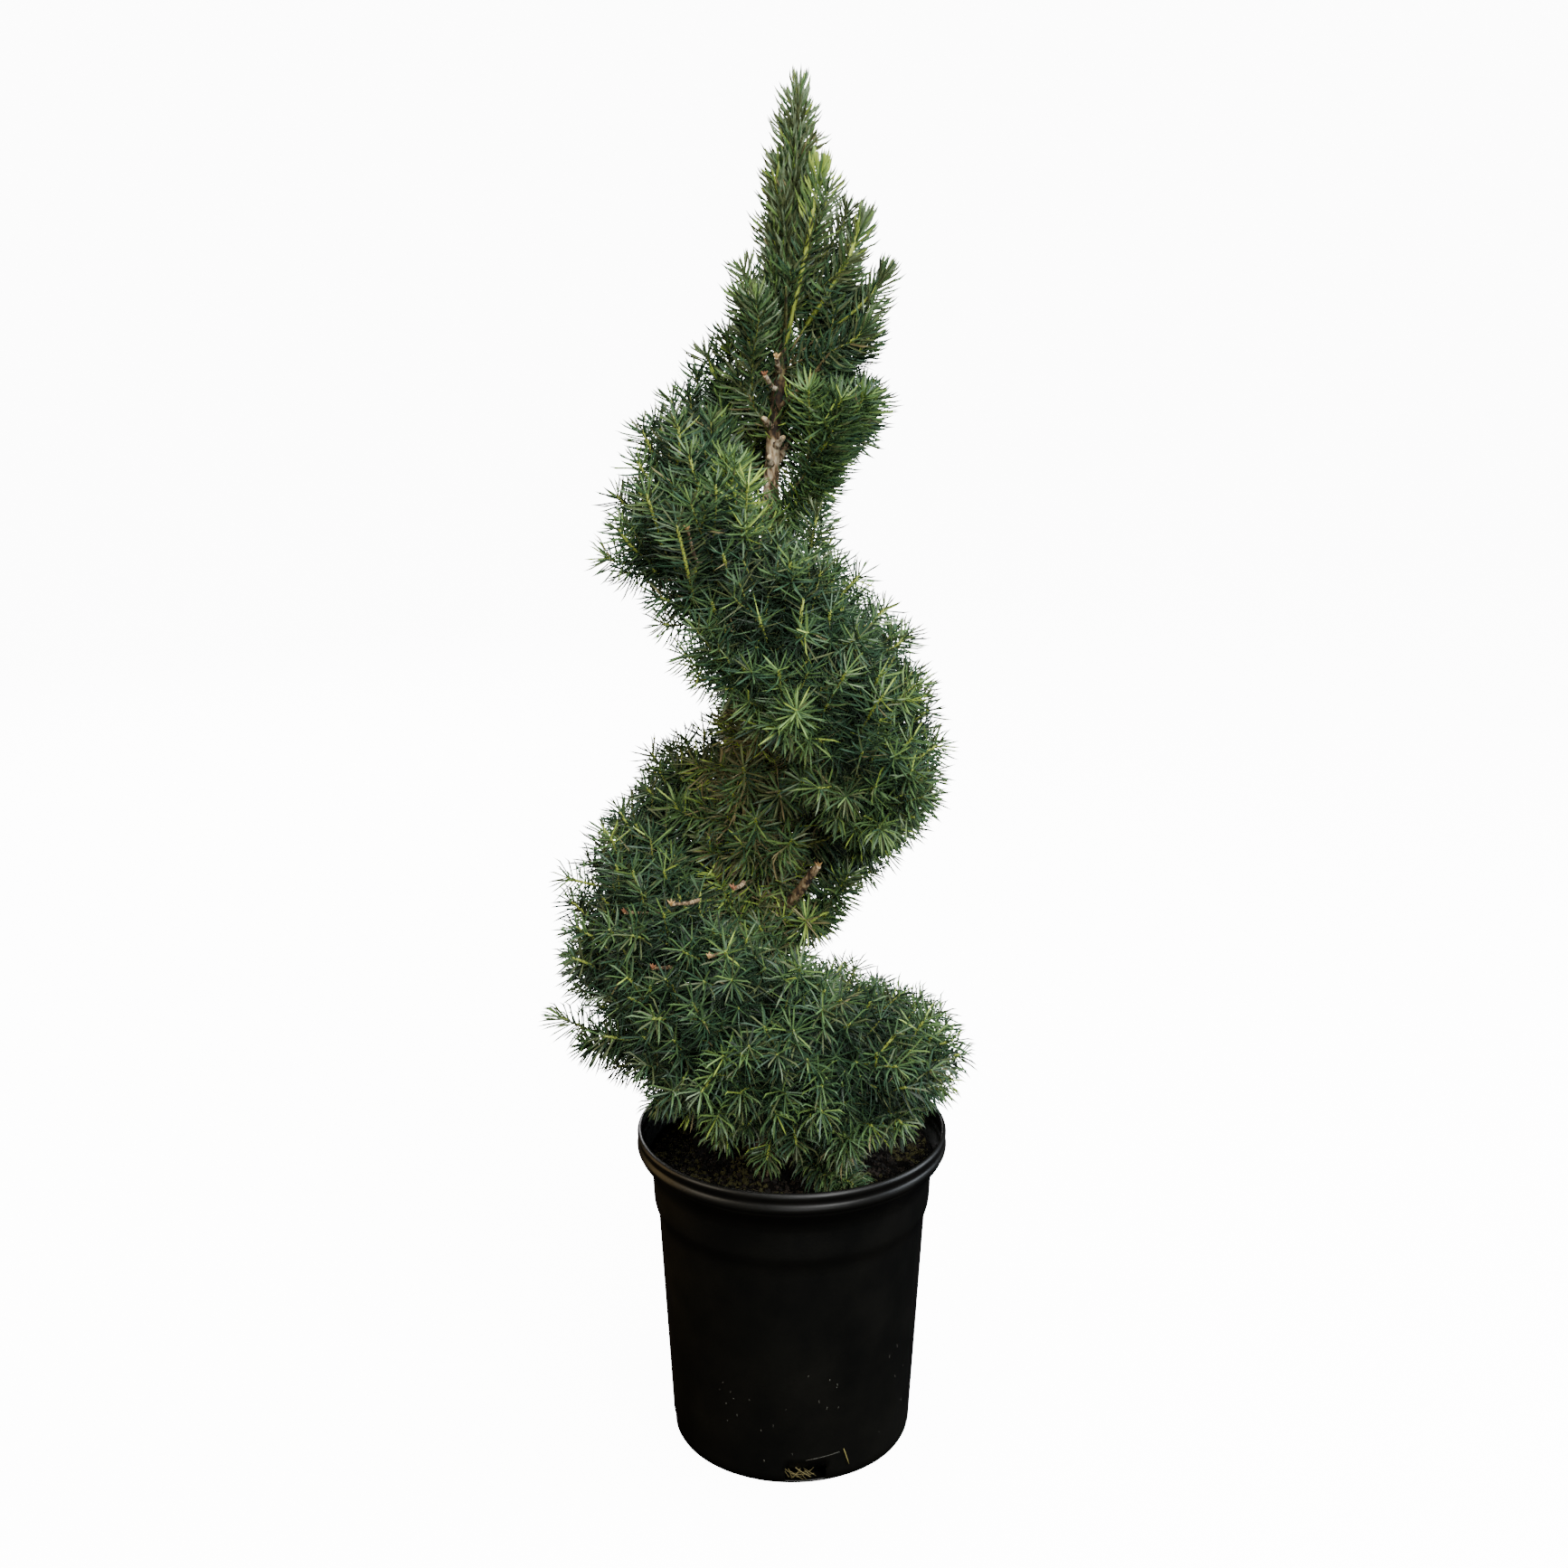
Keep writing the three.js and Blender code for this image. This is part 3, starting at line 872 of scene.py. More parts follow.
@dataclass
class Growth:
    """The branching rule: shoots leave the limb that suits them best and bend out to their targets."""

    space: CrownSpace
    stem: StemLine
    seed: int = 11
    step: float = 7 * MM
    detour: float = 0.32  # how much a longer way back to the trunk counts against a limb
    skin_spacing: float = 20.5 * MM
    skin_depth: float = 10 * MM
    skin_scatter: float = 4 * MM
    new_share: float = 0.14  # share of shoots that have grown out since the last clipping
    new_reach: float = 6 * MM
    margin: float = 7 * MM  # how far the tips stay inside the CAD's box
    heart_spacing: float = 18.5 * MM
    heart_depth: float = 0.72
    leader_length: float = 150 * MM
    sprig_heights: Span = (0.232, 0.755)
    sprigs_dense: Span = (0.34, 0.60)  # only each third sprig grows below and above these heights
    sprig_every: float = 1.6 * MM
    sprig_reach: Span = (14 * MM, 38 * MM)
    sprig_longest: float = 64 * MM
    leaving: float = 0.45  # how much a shoot's foot keeps to its parent's direction
    short_charge: float = 0.7  # charge on a shoot that is shorter than it should be
    handle: float = 0.36
    twig_tip: float = 0.62 * MM
    thickening: float = 0.42  # radius grows as the number of tips beyond to this power
    bright_share: float = 0.13  # share of shoots at the skin with a long bright stem
    skin_candidates: int = 26000
    heart_candidates: int = 60000
    window_foot: float = 0.652  # height above which the trunk shows from the front
    window_side: Span = (0.66, 0.735)  # heights between which its right side is thin
    window_middle: float = -11 * MM
    window_half: float = 16 * MM
    sprigs_clear: float = 0.655  # height above which no sprig stands on its front
    front_half: float = math.radians(70)  # how far round from the front that goes
    fan_foot: float = 0.74  # height above which the fan of new shoots stays clear
    first_companion: float = 1.0  # turn of a lead's first companion, in radians
    fill_seed: int = 29
    fill_candidates: int = 24000
    fill_depth: float = 0.6
    fill_clearance: float = 16 * MM

    def __post_init__(self) -> None:
        """Start the limbs that shoots can leave from."""
        self.random = np.random.default_rng(self.seed)
        self.points = np.zeros((0, 3))
        self.ways = np.zeros((0, 3))
        self.cost = np.zeros(0)
        self.owner = np.zeros(0, int)

    def add_limb(self, points: Array, ways: Array, cost: float, owner: int) -> None:
        """Add the points of a limb as places to leave from.

        Args:
            points: Points along the limb.
            ways: Unit tangents there.
            cost: Distance from the trunk to the first point.
            owner: Number of the strand, or -1 for trunk and boughs.
        """
        steps = np.linalg.norm(np.diff(points, axis=0, prepend=points[:1]), axis=1)
        self.points = np.concatenate([self.points, points])
        self.ways = np.concatenate([self.ways, ways])
        self.cost = np.concatenate([self.cost, cost + np.cumsum(steps)])
        self.owner = np.concatenate([self.owner, np.full(len(points), owner)])

    def beside_window(self, points: Array) -> Array:
        """Tell which points lie to the right of the trunk's bare stretch."""
        x, _, z = points.T
        low, high = self.window_side
        return (z > low) & (z < high) & (x > 0)

    def skin_targets(self) -> Targets:
        """Choose shoot tips under the crown's skin.

        Candidates lie all over the CAD faces, by area. Those between two masses and those that
        face the trunk are dropped, and the rest are thinned to an even spacing.

        Returns:
            The tips and the directions out of the crown. The fan at the top and the trunk's window
            stay clear in front.
        """
        masses = [node_triangles(name) for name in FOLIAGE if name.startswith("spiral")]
        a, b, c = np.concatenate(masses).transpose(1, 0, 2)
        across = np.cross(b - a, c - a)
        area = np.linalg.norm(across, axis=1)
        which = self.random.choice(len(area), self.skin_candidates, p=area / area.sum())
        u, v = self.random.random((2, len(which), 1))
        u, v = np.where(u + v > 1, 1 - u, u), np.where(u + v > 1, 1 - v, v)
        points = a[which] + u * (b - a)[which] + v * (c - a)[which]
        normal = unit(across[which])
        open_side = self.space.inside(points + 8 * MM * normal) < 0.3
        from_trunk = points - self.stem.at(points[:, 2])[0]
        near = np.linalg.norm(from_trunk, axis=1) < 55 * MM
        faces_trunk = (unit(from_trunk) * normal).sum(axis=1) < -0.3
        hidden = near & faces_trunk & (points[:, 1] > -12 * MM)
        points, normal = (x[open_side & ~hidden] for x in (points, normal))
        tips = self.accent_targets().tips
        clear = np.linalg.norm(points[:, None] - tips, axis=2).min(axis=1) > 0.7 * self.skin_spacing
        x, y, z = points.T
        fan = (z > self.fan_foot) & (y < -5 * MM) & (x > -16 * MM)
        window = (z > self.window_foot) & (y < -15 * MM)
        window &= np.abs(x - self.window_middle) < self.window_half
        thinned = self.beside_window(points) & (self.random.random(len(x)) < 0.5)
        clear &= ~(fan | window | thinned)
        points, normal = points[clear], normal[clear]
        spacing = self.skin_spacing * self.random.uniform(0.8, 1.25, len(points))
        kept = spread_out(points, spacing)
        points, normal = points[kept], unit(normal[kept] + self.space.outward(points[kept]))
        inset = self.skin_depth + self.skin_scatter * self.random.standard_normal(len(points))
        new = self.random.random(len(points)) < self.new_share
        inset = np.where(new, -self.new_reach * self.random.random(len(points)), inset)
        low, high = np.array(CAD_BOX)
        tips = np.clip(points - normal * inset[:, None], low + self.margin, high - self.margin)
        return Targets(tips, normal)

    def heart_targets(self) -> Targets:
        """Choose tips inside the crown, thinned to their own spacing."""
        points = self.space.scatter(self.random, self.heart_candidates)
        points = points[(self.space.depth(points) > self.heart_depth) & ~self.beside_window(points)]
        points = points[spread_out(points, np.full(len(points), self.heart_spacing))]
        return Targets(points, self.space.outward(points))

    def sprig_targets(self) -> Targets:
        """Choose tips for the short sprigs that stand on the trunk between the turns of the spiral.

        They go up the trunk by even steps and round it by golden angles. Each reaches to the foliage
        that it faces, or a short way where it faces open air. One window at the front is left bare.

        Returns:
            The tips and the directions out from the trunk.
        """
        heights = np.arange(*self.sprig_heights, self.sprig_every)
        low, high = self.sprigs_dense
        sparse = ((heights > high) | (heights < low)) & (np.arange(len(heights)) % 3 > 0)
        heights = heights[~sparse]
        turn = np.arange(len(heights)) * GOLDEN_ANGLE + self.random.uniform(-0.4, 0.4, len(heights))
        facing = np.abs((turn + np.pi / 2 + np.pi) % (2 * np.pi) - np.pi) < self.front_half
        keep = ~(facing & (heights > self.sprigs_clear))
        heights, turn = heights[keep], turn[keep]
        out = around(turn)
        reach = self.random.uniform(*self.sprig_reach, len(turn))
        centres, _ = self.stem.at(heights)
        trial = np.linspace(self.sprig_reach[0], self.sprig_longest, 14)[:, None]
        met = self.space.inside(centres + trial[..., None] * (out + 0.5 * UP)) > 0.35
        reach = np.where(met.any(axis=0), np.maximum(reach, trial[met.argmax(axis=0), 0]), reach)[:, None]
        return Targets(centres + 0.85 * reach * out + reach * UP, unit(0.5 * out + UP))

    def axis_targets(self) -> Targets:
        """Choose the tips of the shoots that make up each plume, shoot and spray of the CAD.

        One leads along the node's axis. Its companions stand round it by golden angles, at lower
        and lower shares of its length, and few of them at the front.

        Returns:
            The tips, a little short of the skin, and the direction and looks of each.
        """
        tips, ways, leads = [], [], []
        for name in FOLIAGE:
            if name.startswith("spiral"):
                continue
            points = node_triangles(name).reshape(-1, 3)
            middle = points.mean(axis=0)
            axis = np.linalg.svd(points - middle, full_matrices=False)[2][0]
            along = (points - middle) @ axis
            ends = middle + np.array([[along.min()], [along.max()]]) * axis
            from_trunk = np.linalg.norm(ends - self.stem.at(ends[:, 2])[0], axis=1)
            foot, tip = ends[np.argsort(from_trunk + 0.5 * ends[:, 2])]
            way = unit(tip - foot)
            off_axis = points - foot - ((points - foot) @ way)[:, None] * way
            thick = np.linalg.norm(off_axis, axis=1).max()
            side, over = (x[0, 0] for x in frames_along(way[None, None]))
            lead = LEADS[name]
            if name != "leader_plume" and lead.leads:
                tips.append(tip - lead.short * way)
                ways.append(way)
                leads.append(lead)
            for k in range(lead.companions):
                share = lead.highest - (lead.highest - 0.2) * k / lead.companions
                turn = k * GOLDEN_ANGLE + self.first_companion
                spoke = math.cos(turn) * side + math.sin(turn) * over
                if spoke[1] < 0:
                    spoke = spoke * [1, 2 * lead.front - 1, 1]
                width = thick * min(1.0, 1.7 * (1 - share))
                tips.append(foot + share * (tip - foot) + 0.55 * width * spoke)
                ways.append(unit(way + 0.3 * spoke))
                leads.append(Lead())
        return Targets(np.array(tips), np.array(ways), leads)

    def fan_targets(self, fan: Fan) -> Targets:
        """Spread one fan: lean and length go evenly from the first shoot to the last.

        A tip is the foot plus the length times (sin lean outwards, cos lean upwards).

        Args:
            fan: The fan's sizes.

        Returns:
            The tips, the directions there and the shoots' looks.
        """
        share = np.linspace(0, 1, fan.count)
        lean = np.radians(between(fan.lean, share))
        turn = np.radians(between(fan.arc, np.arange(fan.count) * GOLDEN_ANGLE / (2 * np.pi) % 1))
        out = around(turn)
        ways = np.sin(lean)[:, None] * out + np.cos(lean)[:, None] * UP
        length = between(fan.length, share) * MM
        foot = self.stem.at(np.array([fan.foot * MM]))[0]
        looks = zip(length, between(fan.fresh, share))
        leads = [Lead(fresh=x * part, club=fan.club * MM, leave=fan.foot * MM) for x, part in looks]
        return Targets(foot + length[:, None] * ways, unit(ways + 0.5 * UP), leads)

    def band_targets(self, band: Band) -> Targets:
        """Set one band's tips: heights by even steps, the turns by golden angles.

        Without a reach, each tip lies where a level line from the trunk leaves the foliage for the
        last time, and a line that meets no foliage is dropped.

        Args:
            band: The band's sizes.

        Returns:
            The tips, the directions there and the shoots' looks.
        """
        number = np.arange(band.count)
        share = (number + 0.5) / band.count
        mixed = (number + 1) * GOLDEN_ANGLE / (2 * np.pi) % 1
        other = (number + 1) * math.sqrt(2) % 1
        turn = np.radians(between(band.arc, mixed))
        out = around(turn)
        centres = self.stem.at(between(band.heights, share) * MM)[0]
        reach = between(band.reach, other) * MM
        if band.reach[1] == 0:
            trial = np.arange(10 * MM, 180 * MM, 2.5 * MM)[:, None]
            met = self.space.inside(centres + trial[..., None] * out) > 0.5
            last = len(trial) - 1 - met[::-1].argmax(axis=0)
            reach = trial[last, 0] + band.stand * MM
            seen = met.any(axis=0)
            centres, out, reach, share, other = (x[seen] for x in (centres, out, reach, share, other))
        tips = centres + reach[:, None] * out
        low, high = np.array(CAD_BOX)
        tips = np.clip(tips, low + 2 * MM, high - 2 * MM)
        leave = tips[:, 2] - band.leave * MM if band.leave else 0 * share
        looks = zip(between(band.fresh, other) * MM, leave, between(band.dry, share))
        leads = [Lead(fresh=x, club=band.club * MM, leave=y, dry=z) for x, y, z in looks]
        return Targets(tips, unit(out + band.rise * UP), leads)

    def accent_targets(self) -> Targets:
        """Give the shoots that stand out from the crown, in fans and bands."""
        groups = [self.fan_targets(fan) for fan in FANS] + [self.band_targets(band) for band in BANDS]
        tips = np.concatenate([group.tips for group in groups])
        ways = np.concatenate([group.ways for group in groups])
        return Targets(tips, ways, [lead for group in groups for lead in group.leads])

    def fill_targets(self) -> Targets:
        """Choose tips in the gaps: places deep in the crown that no limb comes near.

        The squared distance of two points is the sum of their squares less twice their product.

        Returns:
            The tips, thinned to the clearance, and the directions out of the crown.
        """
        points = self.space.scatter(np.random.default_rng(self.fill_seed), self.fill_candidates)
        points = points[self.space.depth(points) > self.fill_depth]
        limbs = self.points
        apart = (points**2).sum(axis=1)[:, None] + (limbs**2).sum(axis=1) - 2 * points @ limbs.T
        points = points[apart.min(axis=1) > self.fill_clearance**2]
        points = points[spread_out(points, np.full(len(points), self.fill_clearance))]
        return Targets(points, self.space.outward(points))

    def leader(self) -> Array:
        """Give the curve of the trunk's top, which is the leading shoot and bears its own needles."""
        top = self.stem.heights[-1]
        return self.stem.at(np.linspace(top - self.leader_length, top - 1 * MM, 4))[0]

    def leave_from(self, target: Array, full: float) -> int:
        """Find the best place to leave from for a target.

        The score is the distance from a point a little below the target, as shoots rise, plus a
        share of the way back to the trunk, plus charges for a short shoot, for turning back and
        for crossing open air. The lowest score wins.

        Args:
            target: The shoot's tip.
            full: The length that such a shoot should have.

        Returns:
            The number of a limb point.
        """
        gap = target - self.points
        length = np.linalg.norm(gap, axis=1)
        below = np.interp(target[2], [0.3, 0.6, 0.78], [6 * MM, 20 * MM, 45 * MM])
        distance = np.linalg.norm(gap - below * UP, axis=1)
        turn = (unit(gap) * self.ways).sum(axis=1)
        score = distance + self.detour * self.cost + 0.03 * np.maximum(0.2 - turn, 0)
        score += self.short_charge * np.maximum(full - length, 0)
        best = np.argpartition(score, 20)[:20]
        along = np.linspace(0.2, 0.8, 4)[:, None, None]
        air = 1 - self.space.inside(self.points[best] + along * gap[best]).mean(axis=0)
        far = np.linalg.norm(self.points[best] - self.stem.at(self.points[best, 2])[0], axis=1)
        air = np.where(far < 30 * MM, 0.4 * air, air)
        return best[(score[best] + 0.09 * air).argmin()]

    def grow(self, targets: Targets, keep: float, full: float, first: int) -> tuple[Array, Array, Array]:
        """Grow one shoot to each target, nearest to the trunk first.

        Args:
            targets: Where the shoots are to end.
            keep: How much a shoot's tip keeps to that direction.
            full: The length that such a shoot should have.
            first: Number of the first new strand.

        Returns:
            Control points of the curves, the strand that each one left, and the targets' sequence.
        """
        tips = targets.tips
        from_trunk = np.linalg.norm(tips - self.stem.at(tips[:, 2])[0], axis=1)
        sequence = np.argsort(from_trunk)
        control, parents = [], []
        share = np.linspace(0, 1, 9)[None]
        for number, i in enumerate(sequence):
            at = self.leave_from(tips[i], full)
            if targets.leads and targets.leads[i].leave:
                from_here = self.points - self.stem.at(np.array([targets.leads[i].leave]))[0]
                at = np.linalg.norm(from_here, axis=1).argmin()
            start, way = self.points[at], self.ways[at]
            gap = tips[i] - start
            length = np.linalg.norm(gap)
            leave = unit(self.leaving * way + gap / length)
            lift = np.interp(tips[i][2], [0.24, 0.42, 0.58, 0.75], [0.08, 0.35, 0.65, 1.0])
            arrive = unit(keep * targets.ways[i] + 0.7 * gap / length + lift * UP)
            reach = self.handle * length
            curve = np.stack([start, start + reach * leave, tips[i] - reach * arrive, tips[i]])
            points, ways = bezier(curve[None], share)
            count = max(2, int(length / self.step))
            picked = np.unique(np.linspace(1, 8, count).astype(int))[:-1]
            if len(picked):
                cost = self.cost[at] + length * picked[0] / 8
                self.add_limb(points[0, picked], ways[0, picked], cost, first + number)
            control.append(curve)
            parents.append(self.owner[at])
        return np.array(control), np.array(parents), sequence

    def run(self) -> Strands:
        """Grow the crown's main shoots.

        Returns:
            The strands, thickened towards their feet by the number of tips that they carry.
        """
        plans = [
            (self.axis_targets, 4, 2.0, 85 * MM),
            (self.heart_targets, 0, 0.3, 30 * MM),
            (self.accent_targets, 4, 2.2, 50 * MM),
            (self.sprig_targets, 3, 0.8, 18 * MM),
            (self.skin_targets, 1, 0.8, 46 * MM),
            (self.fill_targets, 1, 0.8, 30 * MM),
        ]
        groups, orders = [(self.leader()[None], np.array([-1]))], [np.array([4])]
        looks = {0: LEADS["leader_plume"]}
        for choose, order, keep, full in plans:
            first = sum(len(group[0]) for group in groups)
            targets = choose()
            *grown, sequence = self.grow(targets, keep, full, first)
            groups.append(grown)
            orders.append(np.full(len(sequence), order))
            if targets.leads:
                looks |= {first + number: targets.leads[i] for number, i in enumerate(sequence)}
            LOG.info("%s: %d shoots", choose.__name__, len(sequence))
        control = np.concatenate([group[0] for group in groups])
        parents = np.concatenate([group[1] for group in groups])
        carried = np.ones(len(control))
        for i in range(len(control) - 1, -1, -1):
            if parents[i] >= 0:
                carried[parents[i]] += carried[i]
        order = np.concatenate(orders)
        tip = np.full(len(control), self.twig_tip)
        foot = tip * carried**self.thickening
        tone = self.random.normal(0, 1, len(control))
        chance = self.random.random(len(control))
        on_skin = order == 1
        long_stems = self.random.uniform(18, 40, len(chance)) * MM
        short_stems = self.random.uniform(3, 8, len(chance)) * MM
        fresh = np.where(on_skin & (chance < self.bright_share), long_stems, 0)
        fresh = np.where(on_skin & (chance > 0.45), short_stems, fresh)
        club = self.random.uniform(2.5, 6, len(control)) * MM
        old = np.interp(control[:, 3, 2], [0.34, 0.46, 0.54, 0.6], [0.14, 0.3, 0.42, 0.08])
        dry = np.where(order == 3, old, 0.012)
        named = list(looks)
        fresh[named] = [lead.fresh for lead in looks.values()]
        club[named] = [lead.club for lead in looks.values()]
        dry[named] = [lead.dry for lead in looks.values()]
        tone[named] = np.clip(tone[named], -0.8, 0.35)
        return Strands(control, foot, tip, order, tone, fresh, club, dry)


@dataclass
class SideShoots:
    """Short shoots that leave the main ones on alternate sides, and stop at the clipped skin."""

    space: CrownSpace
    seed: int = 23
    spacing: float = 17 * MM
    first: float = 25 * MM  # distance of the first side shoot back from the tip
    last: float = 110 * MM
    angle: float = math.radians(44)
    shortest: float = 13 * MM
    longest: float = 38 * MM
    growth: float = 0.75  # how fast they lengthen with the distance from the tip
    radius: float = 0.5 * MM

    def grow(self, mains: Strands) -> Strands:
        """Grow side shoots from the main ones.

        Args:
            mains: The shoots that carry them.

        Returns:
            The side shoots, as strands of order 2.
        """
        random = np.random.default_rng(self.seed)
        lengths = mains.lengths()
        reach = np.minimum(lengths * 0.92, self.last) - self.first
        reach = np.where(mains.order == 4, 0 * reach - 1, reach)
        count = np.maximum(np.floor(reach / self.spacing).astype(int) + 1, 0)
        which, number = numbered(count)
        back = self.first + (number + random.uniform(-0.3, 0.3, len(number))) * self.spacing
        share = np.clip(1 - back / lengths[which], 0.02, 0.98)
        start, way = bezier(mains.control[which], share[:, None])
        start, way = start[:, 0], way[:, 0]
        side, over = (x[:, 0] for x in frames_along(way[:, None]))
        roll = number * GOLDEN_ANGLE + mains.tone[which] * 7 + random.uniform(-0.5, 0.5, len(number))
        spoke = np.cos(roll)[:, None] * side + np.sin(roll)[:, None] * over
        angle = (self.angle + random.normal(0, 0.12, len(number)))[:, None]
        leave = np.cos(angle) * way + np.sin(angle) * spoke
        rise = np.interp(start[:, 2], [0.3, 0.6, 0.8], [0.1, 0.45, 0.8])[:, None]
        arrive = unit(leave + 0.5 * way + rise * UP)
        length = np.clip(self.growth * back, self.shortest * 1.4, self.longest)
        length = length * random.uniform(0.65, 1.15, len(number))
        # A side shoot is cut back to where it comes to the skin.
        trial = np.linspace(0.3, 1.15, 8)[:, None, None]
        inside = self.space.inside(start + trial * length[:, None] * unit(leave + arrive)) > 0.3
        free = np.where(inside.all(axis=0), 8, inside.argmin(axis=0))
        length = np.where(free < 8, length * (0.2 + 0.12 * free), length)
        keep = length > self.shortest
        start, leave, arrive, length, which = (x[keep] for x in (start, leave, arrive, length, which))
        tip = start + length[:, None] * unit(leave + arrive)
        third = length[:, None] / 3
        control = np.stack([start, start + third * leave, tip - third * arrive, tip], axis=1)
        count = len(control)
        radius = np.full(count, self.radius)
        tone = mains.tone[which] + random.normal(0, 0.35, count)
        fresh = np.where(random.random(count) < 0.25, random.uniform(3, 7, count) * MM, 0)
        club = np.full(count, 4 * MM)
        LOG.info("side shoots: %d", count)
        order = np.full(count, 2)
        return Strands(control, radius * 1.3, radius, order, tone, fresh, club, mains.dry[which])


# ------------------------------ needles
@dataclass
class Needles:
    """Spruce needles: closed three-sided slips of seven corners, even in width and then pointed."""

    space: CrownSpace
    stem: StemLine
    seed: int = 37
    per_metre: float = 1690.0
    length: float = 18.8 * MM
    width: float = 1.06 * MM
    inner_width: float = 2.0 * MM
    inner_depth: float = 0.76
    long_stem: float = 40 * MM  # bright new stem from which a shoot is full, and combed in front
    tall_stem: float = 100 * MM  # bright new stem of the tallest shoots, which have the newest tints
    uncombed: float = 16 * MM  # length at the tip that keeps its needles in front
    shoulder: float = 0.74  # share of the length where a needle begins to taper
    foot_angle: float = math.radians(62)
    tip_angle: float = math.radians(32)
    club_angle: float = math.radians(13)
    bend: float = math.radians(8)
    droop: float = 0.24

    def lay_out(self, strands: Strands) -> dict[str, Array]:
        """Place the needles round the shoots, each a golden angle on from the one before.

        Args:
            strands: The shoots.

        Returns:
            For each needle its foot, tangent, roll, distance back from the tip, strand and more.
        """
        random = np.random.default_rng(self.seed)
        lengths = strands.lengths()
        middle, _ = bezier(strands.control, np.full((len(lengths), 1), 0.6))
        depth = self.space.depth(middle[:, 0])
        cover = np.where(strands.order == 0, 0.62, 1.0) * np.interp(depth, [0.5, 0.9], [1.1, 0.75])
        cover = np.where(strands.fresh > self.long_stem, 1.2, cover)
        cover *= np.interp(strands.control[:, 3, 2], [0.76, 0.84], [1.0, 0.8])
        count = np.ceil(lengths * self.per_metre * cover).astype(int)
        which, number = numbered(count)
        share = (number + random.uniform(0, 1, len(number))) / count[which]
        share = 1 - (1 - share) ** 1.3
        back = (1 - share) * lengths[which]
        # Old wood far back from the tip has lost most of its needles.
        bare = smooth_step(back, 55 * MM, 120 * MM) * 0.75
        keep = random.random(len(back)) > bare
        which, number, share, back = (x[keep] for x in (which, number, share, back))
        foot, way = (x[:, 0] for x in bezier(strands.control[which], share[:, None]))
        side, over = (x[:, 0] for x in frames_along(way[:, None]))
        roll = number * GOLDEN_ANGLE + strands.tone[which] * 11 + random.uniform(-0.12, 0.12, len(which))
        spoke = np.cos(roll)[:, None] * side + np.sin(roll)[:, None] * over
        # The leader and the long new shoots are combed open at the front, so that their stems show.
        combed = (strands.fresh[which] > self.long_stem) | (which == 0)
        before = combed & (spoke[:, 1] < -0.4) & (back > self.uncombed)
        foot, way, spoke, back, which = (x[~before] for x in (foot, way, spoke, back, which))
        return {
            "foot": foot,
            "way": way,
            "spoke": spoke,
            "back": back,
            "which": which,
            "depth": self.space.depth(foot),
            "chance": random.standard_normal(len(which)),
            "vary": random.uniform(-1, 1, (3, len(which))),
            "club": strands.club[which],
        }

    def shape(self, laid: dict[str, Array]) -> Array:
        """Work out the seven corners of every needle.

        A needle leaves its shoot at an angle that closes towards the tip. It stands off by the
        bend as far as its shoulder, and turns in by it and sags beyond. Three corners stand round
        its foot and three round its shoulder.

        Args:
            laid: What lay_out gives.

        Returns:
            Corners shaped (needles, 7, 3): foot, shoulder and tip.
        """
        way, back, spoke = laid["way"], laid["back"], laid["spoke"]
        at_tip = np.exp(-((back / laid["club"]) ** 2))
        closed = np.where(laid["club"] > 8 * MM, self.club_angle, self.tip_angle)
        upright = smooth_step(laid["foot"][:, 2], 0.62, 0.84)
        open_angle = self.foot_angle * (1 - 0.42 * upright)
        angle = open_angle + (closed - open_angle) * at_tip + 0.09 * laid["vary"][0]
        low_down = 1 - smooth_step(laid["foot"][:, 2], 0.25, 0.6)
        sag = (self.droop * (0.3 + low_down) * (1 - upright))[:, None] * UP
        length = self.length * (1 + 0.16 * laid["vary"][1]) * np.interp(back, [0, 4 * MM], [0.75, 1])
        length = length[:, None]

        def aim(turn: Array) -> Array:
            """Point away from the shoot by a turn from its tangent."""
            return np.cos(turn)[:, None] * way + np.sin(turn)[:, None] * spoke

        first = unit(aim(angle + self.bend) - 0.4 * sag)
        second = unit(aim(angle - self.bend) - 1.8 * sag)
        shoulder = laid["foot"] + self.shoulder * length * first
        tip = shoulder + (1 - self.shoulder) * length * second
        a, b = (x[:, 0] for x in frames_along(unit(tip - laid["foot"])[:, None]))
        turn = (np.pi * laid["vary"][2])[:, None] + 2 * np.pi * np.arange(3) / 3
        ring = np.cos(turn)[..., None] * a[:, None] + np.sin(turn)[..., None] * b[:, None]
        width = self.width * (1 + 0.22 * upright)
        width = np.maximum(width, np.interp(laid["depth"], [0.72, 0.9], [self.width, self.inner_width]))
        ring *= width[:, None, None] / math.sqrt(3)
        foot = laid["foot"][:, None] + 0.75 * ring
        return np.concatenate([foot, shoulder[:, None] + ring, tip[:, None]], axis=1)

